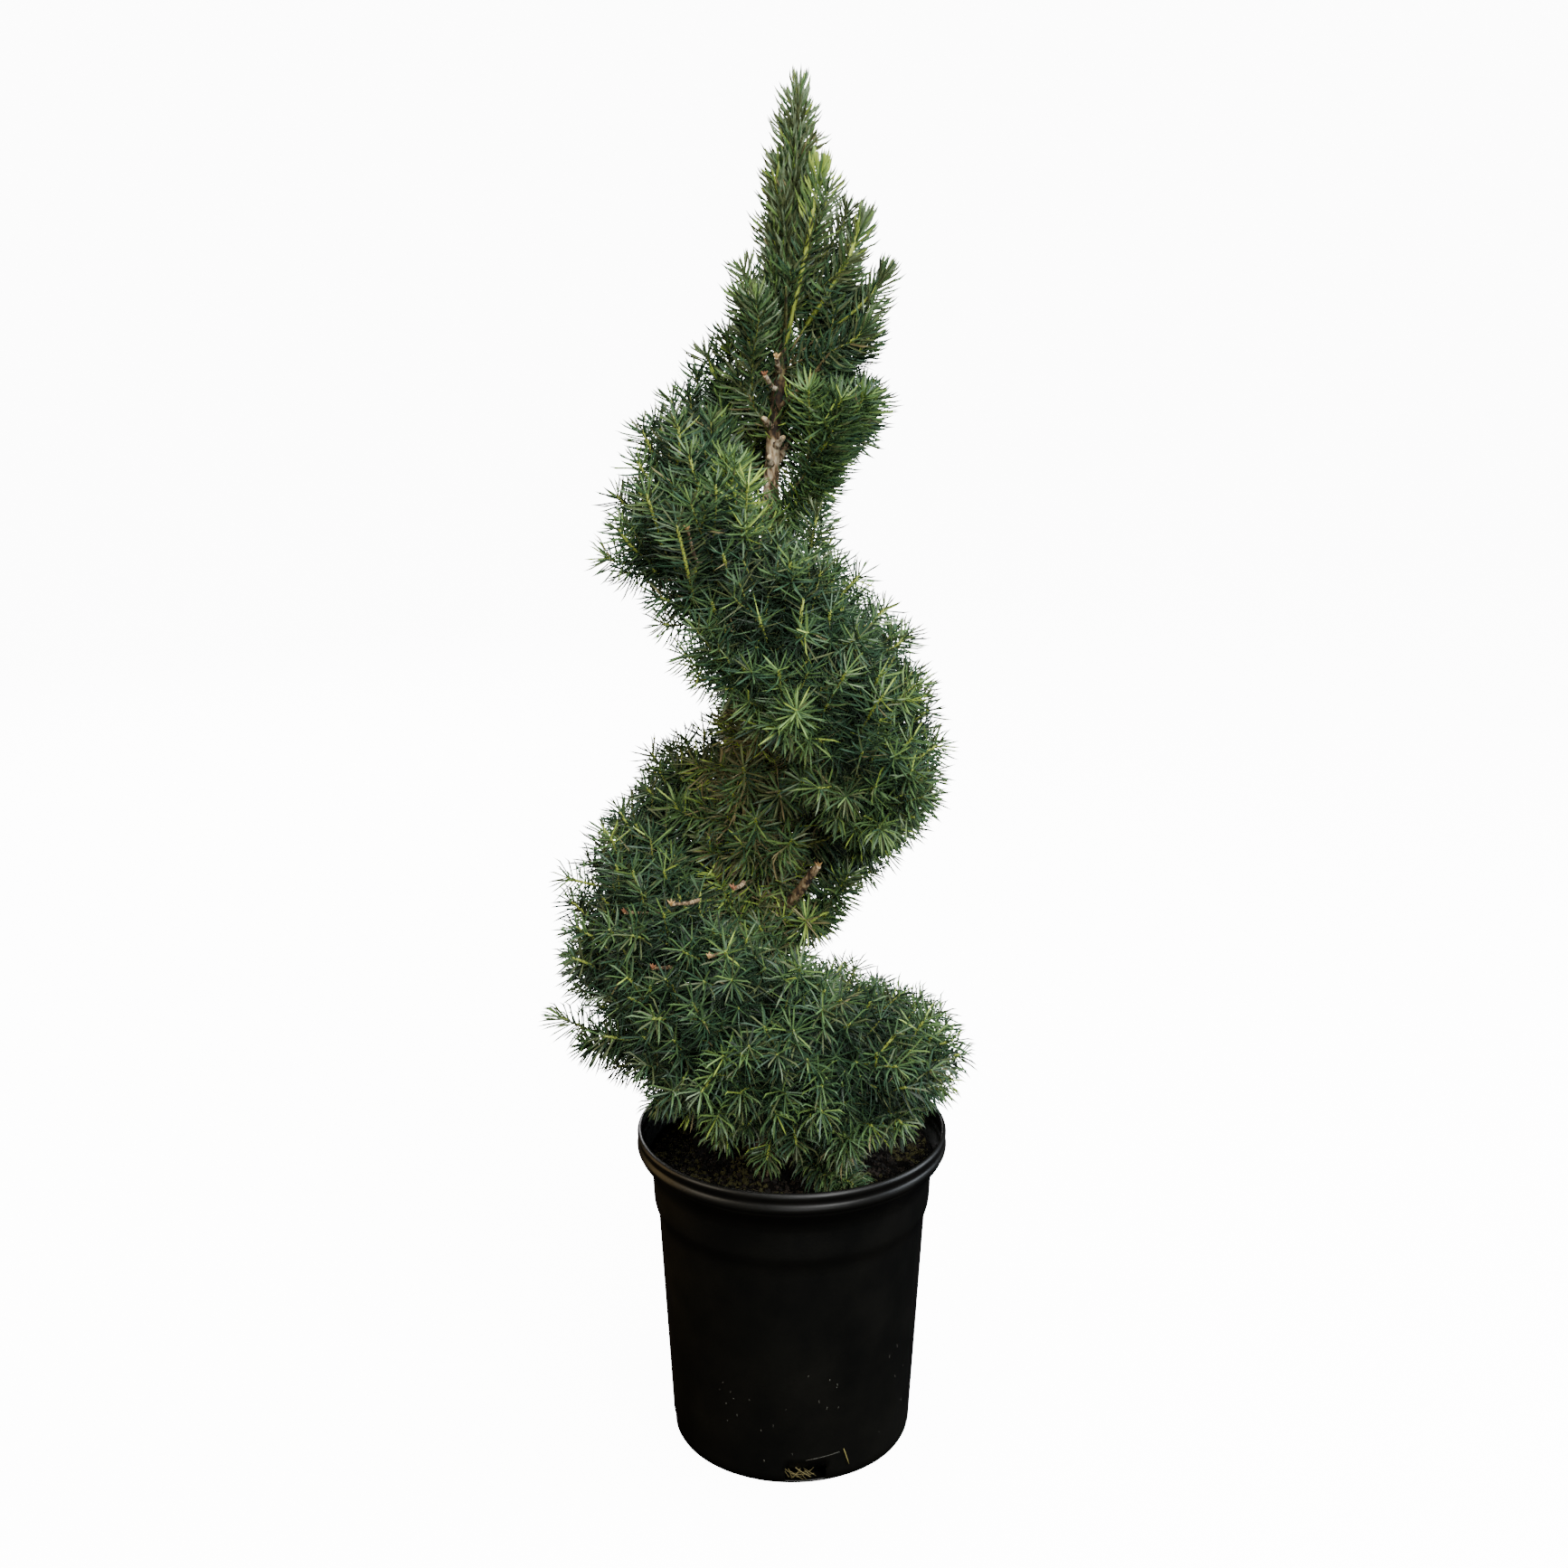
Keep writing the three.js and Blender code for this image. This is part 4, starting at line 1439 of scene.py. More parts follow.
    def tint_numbers(self, laid: dict[str, Array], strands: Strands) -> Array:
        """Deal a tint to each needle, mostly by its spray.

        The value rises with the spray's own tone, nearness to the skin and tip, and height. Its fall deeper
        in the crown is partly older needles and partly painted shade, and the sprigs on the trunk get a
        lift of painted light where the turns above shade them.

        Args:
            laid: What lay_out gives.
            strands: The shoots.

        Returns:
            The number of a Tint for each needle.
        """
        depth, back, which = laid["depth"], laid["back"], laid["which"]
        lifted = np.interp(laid["foot"][:, 2], [0.3, 0.6, 0.76, 0.85], [0.0, 0.3, 0.1, 1.0])
        # The sprigs on the trunk are lifted 1.1 in value below: painted light in the groove that the turns
        # above shade.
        on_trunk = strands.order[which] == 3
        value = 4.3 + 0.6 * strands.tone[which] + (0.9 + 0.5 * on_trunk) * laid["chance"]
        # Deeper in the crown the value falls: older needles in part, painted shade in part.
        value += lifted - 4.8 * np.clip(depth - 0.57, 0, 0.5) + 1.1 * on_trunk
        value += 0.9 * np.exp(-back / (6 * MM)) * (laid["vary"][0] > -0.2)
        new = strands.fresh[which] > self.tall_stem
        value += 1.4 * new * np.exp(-back / (30 * MM))
        value = np.clip(value, 2.0, 7.4)
        from_trunk = np.linalg.norm(laid["foot"] - self.stem.at(laid["foot"][:, 2])[0], axis=1)
        browned = np.interp(laid["foot"][:, 2], [0.25, 0.38, 0.47, 0.55, 0.6], [0.08, 0.14, 0.26, 0.2, 0.0])
        share = strands.dry[which] + browned * (from_trunk < 34 * MM) * (depth < 0.8)
        draw = (laid["vary"][2] + 1) / 2
        dry = draw < np.minimum(share, 0.85)
        value = np.where(dry, np.where(draw < 0.4 * share, 0, 1), value.astype(int))
        # The leading shoots at the top, and some sprays lower down, are greyer and more olive.
        greyed = np.interp(laid["foot"][:, 2], [0.55, 0.62, 0.75, 0.85], [0.22, 0.08, 0.14, 0.7])
        greyed = np.where(new, 0.2, greyed)
        share = (laid["vary"][0] + 1) / 2 + 0.2 * strands.tone[which]
        grey = (value > 2) & (value < 7) & (share < greyed)
        return np.where(grey, np.where(value > 4, 9, 8), value)

    def build(self, strands: Strands) -> None:
        """Make one piece for each tint."""
        laid = self.lay_out(strands)
        corners = self.shape(laid)
        tint = self.tint_numbers(laid, strands)
        LOG.info("needles: %d", len(corners))
        foot = [[0, 2, 1]]
        walls = [[k, (k + 1) % 3, 3 + k] for k in range(3)]
        walls += [[(k + 1) % 3, 3 + (k + 1) % 3, 3 + k] for k in range(3)]
        point = [[3 + k, 3 + (k + 1) % 3, 6] for k in range(3)]
        faces = np.array(foot + walls + point)
        # A needle deep inside the crown does without its shoulder.
        deep = laid["depth"] > self.inner_depth
        plain = np.array(foot + [[k, (k + 1) % 3, 3] for k in range(3)])
        groups = [FOLIAGE[i :: len(Tint)] for i in range(len(Tint))]
        for number, kind in enumerate(Tint):
            parts = MeshParts()
            chosen = corners[(tint == number) & ~deep]
            parts.add(chosen, faces[None] + 7 * np.arange(len(chosen))[:, None, None])
            inner = corners[(tint == number) & deep][:, [0, 1, 2, 6]]
            parts.add(inner, plain[None] + 4 * np.arange(len(inner))[:, None, None])
            make_piece(parts, kind.value, "needle_foliage", *groups[number], smooth=False)


# ------------------------------ twigs
@dataclass
class Twigs:
    """The woody and green stems of all shoots, as thin closed tubes joined by their age."""

    olive_length: float = 46 * MM
    green_radius: float = 1.05 * MM

    def stretch(self, strands: Strands, low: Array, high: Array, rings: int) -> tuple[Array, Array, Array]:
        """Sample one stretch of each strand.

        Args:
            strands: The shoots.
            low: Share of the length where each stretch starts.
            high: Share where it ends.
            rings: Number of points.

        Returns:
            Points, tangents and radii along the stretches.
        """
        share = low[:, None] + (high - low)[:, None] * np.linspace(0, 1, rings)
        points, ways = bezier(strands.control, share)
        fall = strands.foot_radius[:, None] ** (1 - share) * strands.tip_radius[:, None] ** share
        return points, ways, fall

    def build(self, strands: Strands) -> None:
        """Make one piece for each age of wood."""
        lengths = strands.lengths()
        new_from = np.clip(1 - strands.fresh / lengths, 0, 1)
        olive = np.maximum(self.olive_length, strands.fresh + 8 * MM)
        olive_from = np.clip(1 - olive / lengths, 0, 1)
        whole = np.ones(len(lengths))
        plans = [
            (Twig.TAN, 0 * whole, olive_from, 5, "bark"),
            (Twig.OLIVE, olive_from, new_from, 4, "needle_foliage"),
            (Twig.GREEN, new_from, whole, 4, "needle_foliage"),
        ]
        for kind, low, high, rings, slot in plans:
            chosen = (high - low) * lengths > 2 * MM
            some = strands.pick(chosen)
            points, ways, radii = self.stretch(some, low[chosen], high[chosen], rings)
            if kind is Twig.GREEN:
                stout = np.where(some.fresh > 45 * MM, 1.5, 1.0)[:, None] * self.green_radius
                radii = np.maximum(radii, stout * np.linspace(1.1, 0.85, rings))
            make_tubes((points, ways, radii), 4, 0.6, kind.value, slot)


# ------------------------------ trunk and boughs
@dataclass
class Limbs:
    """The trunk and its boughs, with the bark's relief in the mesh."""

    stem: StemLine
    rings_every: float = 2.0 * MM
    columns: int = 36
    flake: float = 5 * MM
    relief: float = 0.75 * MM
    bough_columns: int = 12
    bough_rings: int = 26
    bough_run_on: float = 26 * MM

    def relief_at(self, angle: Array, radius: Array, height: Array) -> Array:
        """Give the bark's height: ridges where two drawn-out noises cross zero, less the cracks.

        Args:
            angle: Angle round the limb.
            radius: Its radius there.
            height: Distance along it.

        Returns:
            Offsets in metres.
        """
        place = around(angle, radius, 0.5 * height)
        plates = 1 - np.abs(noise(place, self.flake * 0.7, 5)) * 1.6
        lumps = noise(place, self.flake * 2.2, 6)
        fine = noise(place, self.flake * 0.22, 7)
        return self.relief * (0.9 * plates + 0.8 * lumps + 0.35 * fine)

    def trunk(self) -> None:
        """Build the trunk over the CAD one: its rings' radius plus the bark's relief."""
        low, high = self.stem.heights[[0, -1]]
        heights = np.linspace(low, high, int((high - low) / self.rings_every))
        centres, radii = self.stem.at(heights)
        angle = 2 * np.pi * np.arange(self.columns) / self.columns
        grid_angle, grid_radius = np.meshgrid(angle, radii)
        grid_height = np.broadcast_to(heights[:, None], grid_angle.shape)
        offset = self.relief_at(grid_angle, grid_radius, grid_height)
        offset = offset * np.clip(grid_radius / (6 * MM), 0.1, 1)
        radius = grid_radius + offset
        wall = centres[:, None] + around(angle, radius)
        parts = MeshParts()
        parts.add(np.concatenate([wall.reshape(-1, 3), centres[[0, -1]]]), *wall_faces(*radius.shape))
        dress(parts.build("trunk_bark"), BarkFinish().material(), "bark", "trunk")

    def bough_line(self, name: str) -> Array:
        """Read a bough's line from its node, from inside the trunk to inside its mass.

        Args:
            name: The bough's CAD node.

        Returns:
            Control points of a cubic curve.
        """
        points = node_triangles(name).reshape(-1, 3)
        away = np.linalg.norm(points[:, :2] - self.stem.at(points[:, 2])[0][:, :2], axis=1)
        near = points[away <= np.quantile(away, 0.2)].mean(axis=0)
        far = points[away >= np.quantile(away, 0.8)].mean(axis=0)
        way = unit(far - near)
        start = self.stem.at(np.array([near[2] - 3 * MM]))[0][0]
        end = far + self.bough_run_on * unit(way + 0.3 * UP)
        return np.stack([start, near + 0.3 * (far - near), far, end])

    def boughs(self) -> Array:
        """Build all boughs as one piece.

        Returns:
            Control points of their curves.
        """
        control = np.array([self.bough_line(name) for name in BOUGHS])
        share = np.tile(np.linspace(0, 1, self.bough_rings), (len(control), 1))
        points, ways = bezier(control, share)
        parts = MeshParts()
        collar = 1.6 * MM * np.exp(-share / 0.1)
        wobble = 0.35 * MM * noise(points, 6 * MM, 9)
        radii = 3.3 * MM - 2.1 * MM * share + collar + wobble
        radii *= np.interp(points[..., 2], [0.69, 0.75], [1.0, 0.5])
        tubes(parts, points, ways, radii, self.bough_columns, 0.7)
        dress(parts.build("bough_bark"), BarkFinish("spruce_bark_of_boughs").material(), "bark", *BOUGHS)
        return control


# ------------------------------ cut wood, buds and dead twigs
@dataclass(frozen=True)
class Sticks:
    """Bare pieces of wood from one stretch of the crown, at even heights, in mm and degrees."""

    heights: Span
    arc: Span
    count: int
    start: float  # from the trunk's axis to the foot
    reach: float
    radii: Span
    rise: float = 0.6
    bud: bool = True


BARE_WOOD = (
    # One cut bough, and dead sticks round the lower turns. They start at one distance from the
    # trunk, so the highest of them stands clear of the crown, where that has drawn in.
    Sticks((398, 398), (-45, -45), 1, 8, 54, (4.4, 2.2), rise=0.9),
    Sticks((370, 448), (-150, -95), 5, 84, 32, (1.4, 1.0), rise=0.2),
    Sticks((642, 642), (-125, -125), 1, 74, 26, (1.2, 0.9), rise=1.6),
    # Stubs under the leader and knots on the bare stretch below them.
    Sticks((736, 758), (-135, -85), 2, 3, 19, (1.8, 1.3)),
    Sticks((688, 724), (-140, -30), 3, 2, 12, (2.7, 1.6), bud=False),
)


@dataclass
class WoodDetails:
    """What the shears and the years leave: a bare bough, stubs with pale cuts, knots, buds, dead twigs."""

    stem: StemLine
    seed: int = 61
    dead_twigs: int = 90
    low_twigs: int = 30
    bud_size: Span = (2.6 * MM, 4.4 * MM)
    bud_parts: int = 7  # the core and its scales

    def curves(self, kind: Sticks) -> Array:
        """Lay out one kind's sticks, which leave straight out and bend up.

        Args:
            kind: Their sizes.

        Returns:
            Control points of their curves, shaped (sticks, 4, 3).
        """
        number = np.arange(kind.count)
        turn = np.radians(between(kind.arc, (number + 1) * GOLDEN_ANGLE / (2 * np.pi) % 1))
        out = around(turn)
        heights = between(kind.heights, (number + 0.5) / kind.count) * MM
        foot = self.stem.at(heights)[0] + kind.start * MM * out
        way = unit(out + kind.rise * UP)
        tip = foot + kind.reach * MM * way
        third = kind.reach * MM / 3
        return np.stack([foot, foot + third * out, tip - third * way, tip], axis=1)

    def sticks(self) -> Array:
        """Build the bare wood, with a pale disc of cut wood at each tip.

        Returns:
            The tips that bear a bud.
        """
        curves = [self.curves(kind) for kind in BARE_WOOD]
        control = np.concatenate(curves)
        share = np.tile(np.linspace(0, 1, 14), (len(control), 1))
        centres, ways = bezier(control, share)
        radii = np.array([kind.radii for kind in BARE_WOOD for _ in range(kind.count)]) * MM
        radius = radii[:, :1] + (radii[:, 1:] - radii[:, :1]) * share
        radius *= 1 + 0.22 * noise(centres, 4 * MM, 21) + 0.15 * (np.sin(share * 31) > 0.7)
        parts = MeshParts()
        tubes(parts, centres, ways, radius, 10, 0.15)
        finish = BarkFinish("spruce_bark_of_bare_wood", height_stain_and_shade=False, flake_mm=2.5)
        dress(parts.build("bare_bough_and_stubs"), finish.material(), "bark")
        end, way = centres[:, -1:], ways[:, -1:]
        disc = np.concatenate([end - 0.4 * MM * way, end + 0.35 * MM * way], axis=1)
        ends = MeshParts()
        tubes(ends, disc, np.repeat(way, 2, axis=1), np.repeat(radii[:, 1:] * 0.82, 2, axis=1), 10, 0.1)
        pale = PlainFinish("cut_spruce_wood", "#C9B183", 0.7)
        dress(ends.build("pruning_cuts"), pale.material(), "bark")
        return np.concatenate([curve[:, -1] for curve, kind in zip(curves, BARE_WOOD) if kind.bud])

    def twigs(self) -> None:
        """Strew thin dead twigs about the trunk, each leaving it by golden angles and bending down."""
        random = np.random.default_rng(self.seed)
        count = self.dead_twigs
        upper = random.uniform(0.34, 0.56, count - self.low_twigs)
        height = np.concatenate([upper, random.uniform(0.23, 0.34, self.low_twigs)])
        turn = np.arange(count) * GOLDEN_ANGLE
        centre, radius = self.stem.at(height)
        out = around(turn, height=random.uniform(-0.3, 0.9, count))
        start = centre + radius[:, None] * 0.6 * out
        reach = random.uniform(18, 46, count)[:, None] * MM
        stray = random.normal(0, 0.25, (count, 3))
        tip = start + reach * unit(out + stray - 0.3 * UP)
        knee = tip - 0.3 * reach * (out + 2 * stray)
        control = np.stack([start, start + 0.4 * reach * out, knee, tip], axis=1)
        points, ways = bezier(control, np.tile(np.linspace(0, 1, 6), (count, 1)))
        thick = random.uniform(0.5, 1.1, (count, 1)) * MM * np.linspace(1.2, 0.6, 6)
        for number, kind in enumerate((Twig.BARK, Twig.DEAD)):
            chosen = np.arange(count) % 2 == number
            make_tubes((points[chosen], ways[chosen], thick[chosen]), 5, 0.5, kind.value, "bark")

    def bud_scales(self, tips: Array) -> None:
        """Set papery buds: a core and overlapping scales round it, each a pointed leaf shape.

        Args:
            tips: Where the buds sit.
        """
        random = np.random.default_rng(self.seed + 1)
        centre = np.repeat(tips, self.bud_parts, axis=0)
        count = len(centre)
        ring = np.tile(np.arange(self.bud_parts), len(tips))
        spread = np.where(ring == 0, 0.0, 0.85)
        turn = ring * np.pi / 3 + random.uniform(0, 1, count)
        way = unit(np.stack([np.cos(turn) * spread, np.sin(turn) * spread, np.ones(count)], axis=-1))
        length = random.uniform(*self.bud_size, count)[:, None]
        share = np.tile(np.linspace(0, 1, 5), (count, 1))
        points = centre[:, None] + (share * length)[..., None] * way[:, None]
        radius = 0.2 * length * np.array([0.9, 1.0, 0.85, 0.5, 0.12])
        for number, kind in enumerate(Bud):
            chosen = np.arange(count) // self.bud_parts % 2 == number
            ways = np.repeat(way[chosen][:, None], 5, axis=1)
            make_tubes((points[chosen], ways, radius[chosen]), 6, 0.4, kind.value, "bark")

    def build(self) -> None:
        """Build all of them."""
        tips = self.sticks()
        self.twigs()
        self.bud_scales(tips)


# ------------------------------ pot
@dataclass
class NurseryPot:
    """The blow-moulded pot: one wall, turned, with a beaded rim, a collar and four drain notches."""

    wall: float = 1.8 * MM
    foot_radius: float = 81 * MM
    foot_inner: float = 61 * MM
    boss_radius: float = 20 * MM
    recess: float = 3 * MM
    notches: int = 4
    first_notch: float = -83.5  # turn of its middle, in degrees
    notch_width: float = 29 * MM
    notch_radius: float = 85 * MM  # where its width is measured
    notch_bottom: float = 2.8 * MM
    notch_top: float = 14 * MM
    columns: int = 192
    # Height and radius of the outside, in mm, from the wall's foot to the rim.
    outside: tuple[Span, ...] = (
        (5, 85.0), (40, 86.8), (80, 88.9), (120, 91.0), (160, 93.1), (168, 93.6), (173, 94.4),
        (178, 95.9), (183, 96.8), (198, 97.5), (203, 98.1), (208, 99.8), (213, 103.0), (217, 105.9),
        (219, 106.6), (220.5, 107.6), (222.5, 108.0), (224.5, 107.5), (226.2, 106.7), (228, 106.8),
        (230, 107.6), (231.8, 107.7), (233.2, 107.0),
    )

    def smooth_outside(self) -> Array:
        """Draw a smooth line through the outside's points, as a Catmull-Rom curve.

        Returns:
            Radius and height of its points, in metres.
        """
        known = np.array([(r, z) for z, r in self.outside]) * MM
        padded = np.concatenate([[2 * known[0] - known[1]], known, [2 * known[-1] - known[-2]]])
        t = np.linspace(0, 1, 5)[:-1, None]
        weights = np.concatenate(
            [-t + 2 * t**2 - t**3, 2 - 5 * t**2 + 3 * t**3, t + 4 * t**2 - 3 * t**3, -(t**2) + t**3],
            axis=1,
        )
        windows = np.stack([padded[i : i + len(known) - 1] for i in range(4)], axis=1)
        curve = 0.5 * np.einsum("sk,nkc->nsc", weights, windows)
        return np.concatenate([curve.reshape(-1, 2), known[-1:]])

    def profile(self) -> tuple[Array, Array, Array]:
        """Put the whole outline together, from the underside's middle round to the floor's middle.

        Returns:
            Radius and height of each row, then the rows of a notch on the outside and inside.
        """
        outside = self.smooth_outside()
        levels = np.linspace(self.notch_bottom, self.notch_top, 4)
        base = np.interp(levels, [0, 1.2 * MM, 5 * MM, 20 * MM], [81 * MM, 83.6 * MM, 85 * MM, 85.8 * MM])
        window = np.stack([base, levels], axis=1)
        upper = outside[outside[:, 1] > self.notch_top + 1 * MM]
        rim_top = 234 * MM
        lip = np.array([[105.9 * MM, rim_top], [104.6 * MM, rim_top]])
        inner_upper = upper[::-2] - [self.wall, 0]
        inner_upper = inner_upper[inner_upper[:, 1] < rim_top - 1.5 * MM]
        underside = np.array(
            [
                [0, 0],
                [self.boss_radius, 0],
                [self.boss_radius + self.recess, self.recess],
                [self.foot_inner - self.recess, self.recess],
                [self.foot_inner, 0],
                [self.foot_radius - 1 * MM, 0],
                [self.foot_radius, 0.2 * MM],
                [self.foot_radius + 2.2 * MM, 1.0 * MM],
            ]
        )
        inner_window = window[::-1] - [self.wall, 0]
        floor = np.array(
            [
                [self.foot_radius - 1 * MM, self.wall],
                [self.foot_inner + 0.5 * MM, self.wall],
                [self.foot_inner - self.recess + 0.5 * MM, self.recess + self.wall],
                [0, self.recess + self.wall],
            ]
        )
        rows = [underside, window, upper, lip, inner_upper, inner_window, floor]
        starts = np.cumsum([0] + [len(row) for row in rows])
        outer_rows = np.arange(starts[1], starts[2]) - 1
        inner_rows = np.arange(starts[5], starts[6])[::-1] - 1
        return np.concatenate(rows), outer_rows, inner_rows

    def notch_spans(self) -> tuple[Array, float]:
        """Give the notches' middles and their half width, as angles."""
        middles = np.radians(self.first_notch + 360 / self.notches * np.arange(self.notches))
        return middles, self.notch_width / 2 / self.notch_radius

    def column_angles(self) -> Array:
        """Space the columns evenly, with the nearest ones moved to the sides of the notches."""
        angles = 2 * np.pi * np.arange(self.columns) / self.columns
        middles, half = self.notch_spans()
        for edge in np.concatenate([middles - half, middles + half]) % (2 * np.pi):
            gap = np.abs((angles - edge + np.pi) % (2 * np.pi) - np.pi)
            angles[gap.argmin()] = edge
        return angles

    def build(self) -> None:
        """Turn the profile, take out the notches and join the outside to the inside round them."""
        rows, outer, inner = self.profile()
        angles = self.column_angles()
        points, quads, fans = turned(rows, angles)
        columns = len(angles)
        keep = np.ones(quads.shape[:2], bool)
        walls = []
        middles, half = self.notch_spans()
        for middle in middles:
            turn = (angles - middle + np.pi) % (2 * np.pi) - np.pi
            across = np.flatnonzero(np.abs(turn) <= half + 1e-6)
            across = across[np.argsort(turn[across])]
            cut = across[:-1]
            keep[outer[0] : outer[-1], cut] = False
            keep[inner[-1] : inner[0], cut] = False
            a, b = across[:-1], across[1:]
            for low, flip in ((0, False), (-1, True)):
                ends = [outer[low] * columns + a, outer[low] * columns + b]
                ends += [inner[low] * columns + b, inner[low] * columns + a]
                face = np.stack(ends, axis=1)
                walls.append(face[:, ::-1] if flip else face)
            for column, flip in ((across[0], True), (across[-1], False)):
                ends = [outer[:-1] * columns + column, outer[1:] * columns + column]
                ends += [inner[1:] * columns + column, inner[:-1] * columns + column]
                face = np.stack(ends, axis=1)
                walls.append(face[:, ::-1] if flip else face)
        parts = MeshParts()
        parts.add(points, quads[keep], fans, *walls)
        dress(parts.build("nursery_pot"), PotFinish().material(), "pot_plastic", "pot")


class Litter(Enum):
    """Colours of the bits of plant that cling to the pot and lie on the mix."""

    ROOT = PlainFinish("fine_roots_tan", "#6E6642", 0.8)
    DRY = PlainFinish("fallen_needles_straw", "#77703F", 0.75)
    DUST = PlainFinish("dust_specks_grey", "#565650", 0.9)


@dataclass
class PotLitter:
    """Fine roots in the front notch, a needle stuck beside it, specks of dust and a moulding line."""

    pot: NurseryPot
    seed: int = 71
    roots: int = 13
    roots_arc: Span = (-11, 5.5)  # turns from the notch's middle, in degrees
    needle_turn: float = 18
    seam_arc: float = 16
    specks: int = 26

    def on_wall(self, angle: Array, height: Array, off: float) -> Array:
        """Find points at a distance off the pot's wall."""
        outside = self.pot.smooth_outside()
        radius = np.interp(height, outside[:, 1], outside[:, 0]) + off
        return around(angle, radius, height)

    def bits(self, kind: Litter, points: Array, radius: Array) -> None:
        """Build thin bits of one kind along their points."""
        ways = unit(np.gradient(points, axis=1))
        curves = (points, ways, np.broadcast_to(radius, points.shape[:2]))
        make_tubes(curves, 4, 0.3, kind.value, "bark_mix")

    def build(self) -> None:
        """Build all of it."""
        random = np.random.default_rng(self.seed)
        middle = self.pot.notch_spans()[0][0]
        share = np.linspace(0, 1, 5)[None]
        left, right = middle + np.radians(self.roots_arc)
        angle = random.uniform(left, right, (self.roots, 2))
        height = random.uniform([3.5 * MM, 8 * MM], [8 * MM, 15 * MM], (self.roots, 2))
        along = angle[:, :1] + (angle[:, 1:] - angle[:, :1]) * share
        up = height[:, :1] + (height[:, 1:] - height[:, :1]) * share
        up = up + random.normal(0, 0.8 * MM, (self.roots, 1)) * np.sin(np.pi * share)
        off = random.uniform(-1.6, 0.2, (self.roots, 1)) * MM
        thick = random.uniform(0.2, 0.34, (self.roots, 1)) * MM
        self.bits(Litter.ROOT, self.on_wall(along, up, off), thick)
        stuck = middle + math.radians(self.needle_turn) + math.radians(3) * share
        needle = self.on_wall(stuck, 25 * MM - 14 * MM * share, 0.5 * MM)
        self.bits(Litter.DRY, needle, np.array([[0.3, 0.5, 0.5, 0.45, 0.2]]) * MM)
        angle = random.uniform(-2.2, -0.4, (self.specks, 1)) + 0.004 * share
        height = random.uniform(14 * MM, 90 * MM, (self.specks, 1))
        slant = random.uniform(-2.4, 2.4, (self.specks, 1)) * MM * share
        size = random.uniform(0.12, 0.3, (self.specks, 1)) * MM
        line = middle + math.radians(self.seam_arc) * share
        seam = self.on_wall(line, 20 * MM + 3 * MM * share, 0.05 * MM)
        marks = np.concatenate([self.on_wall(angle, height + slant, 0.1 * MM), seam])
        self.bits(Litter.DUST, marks, np.concatenate([size, [[0.16 * MM]]]))


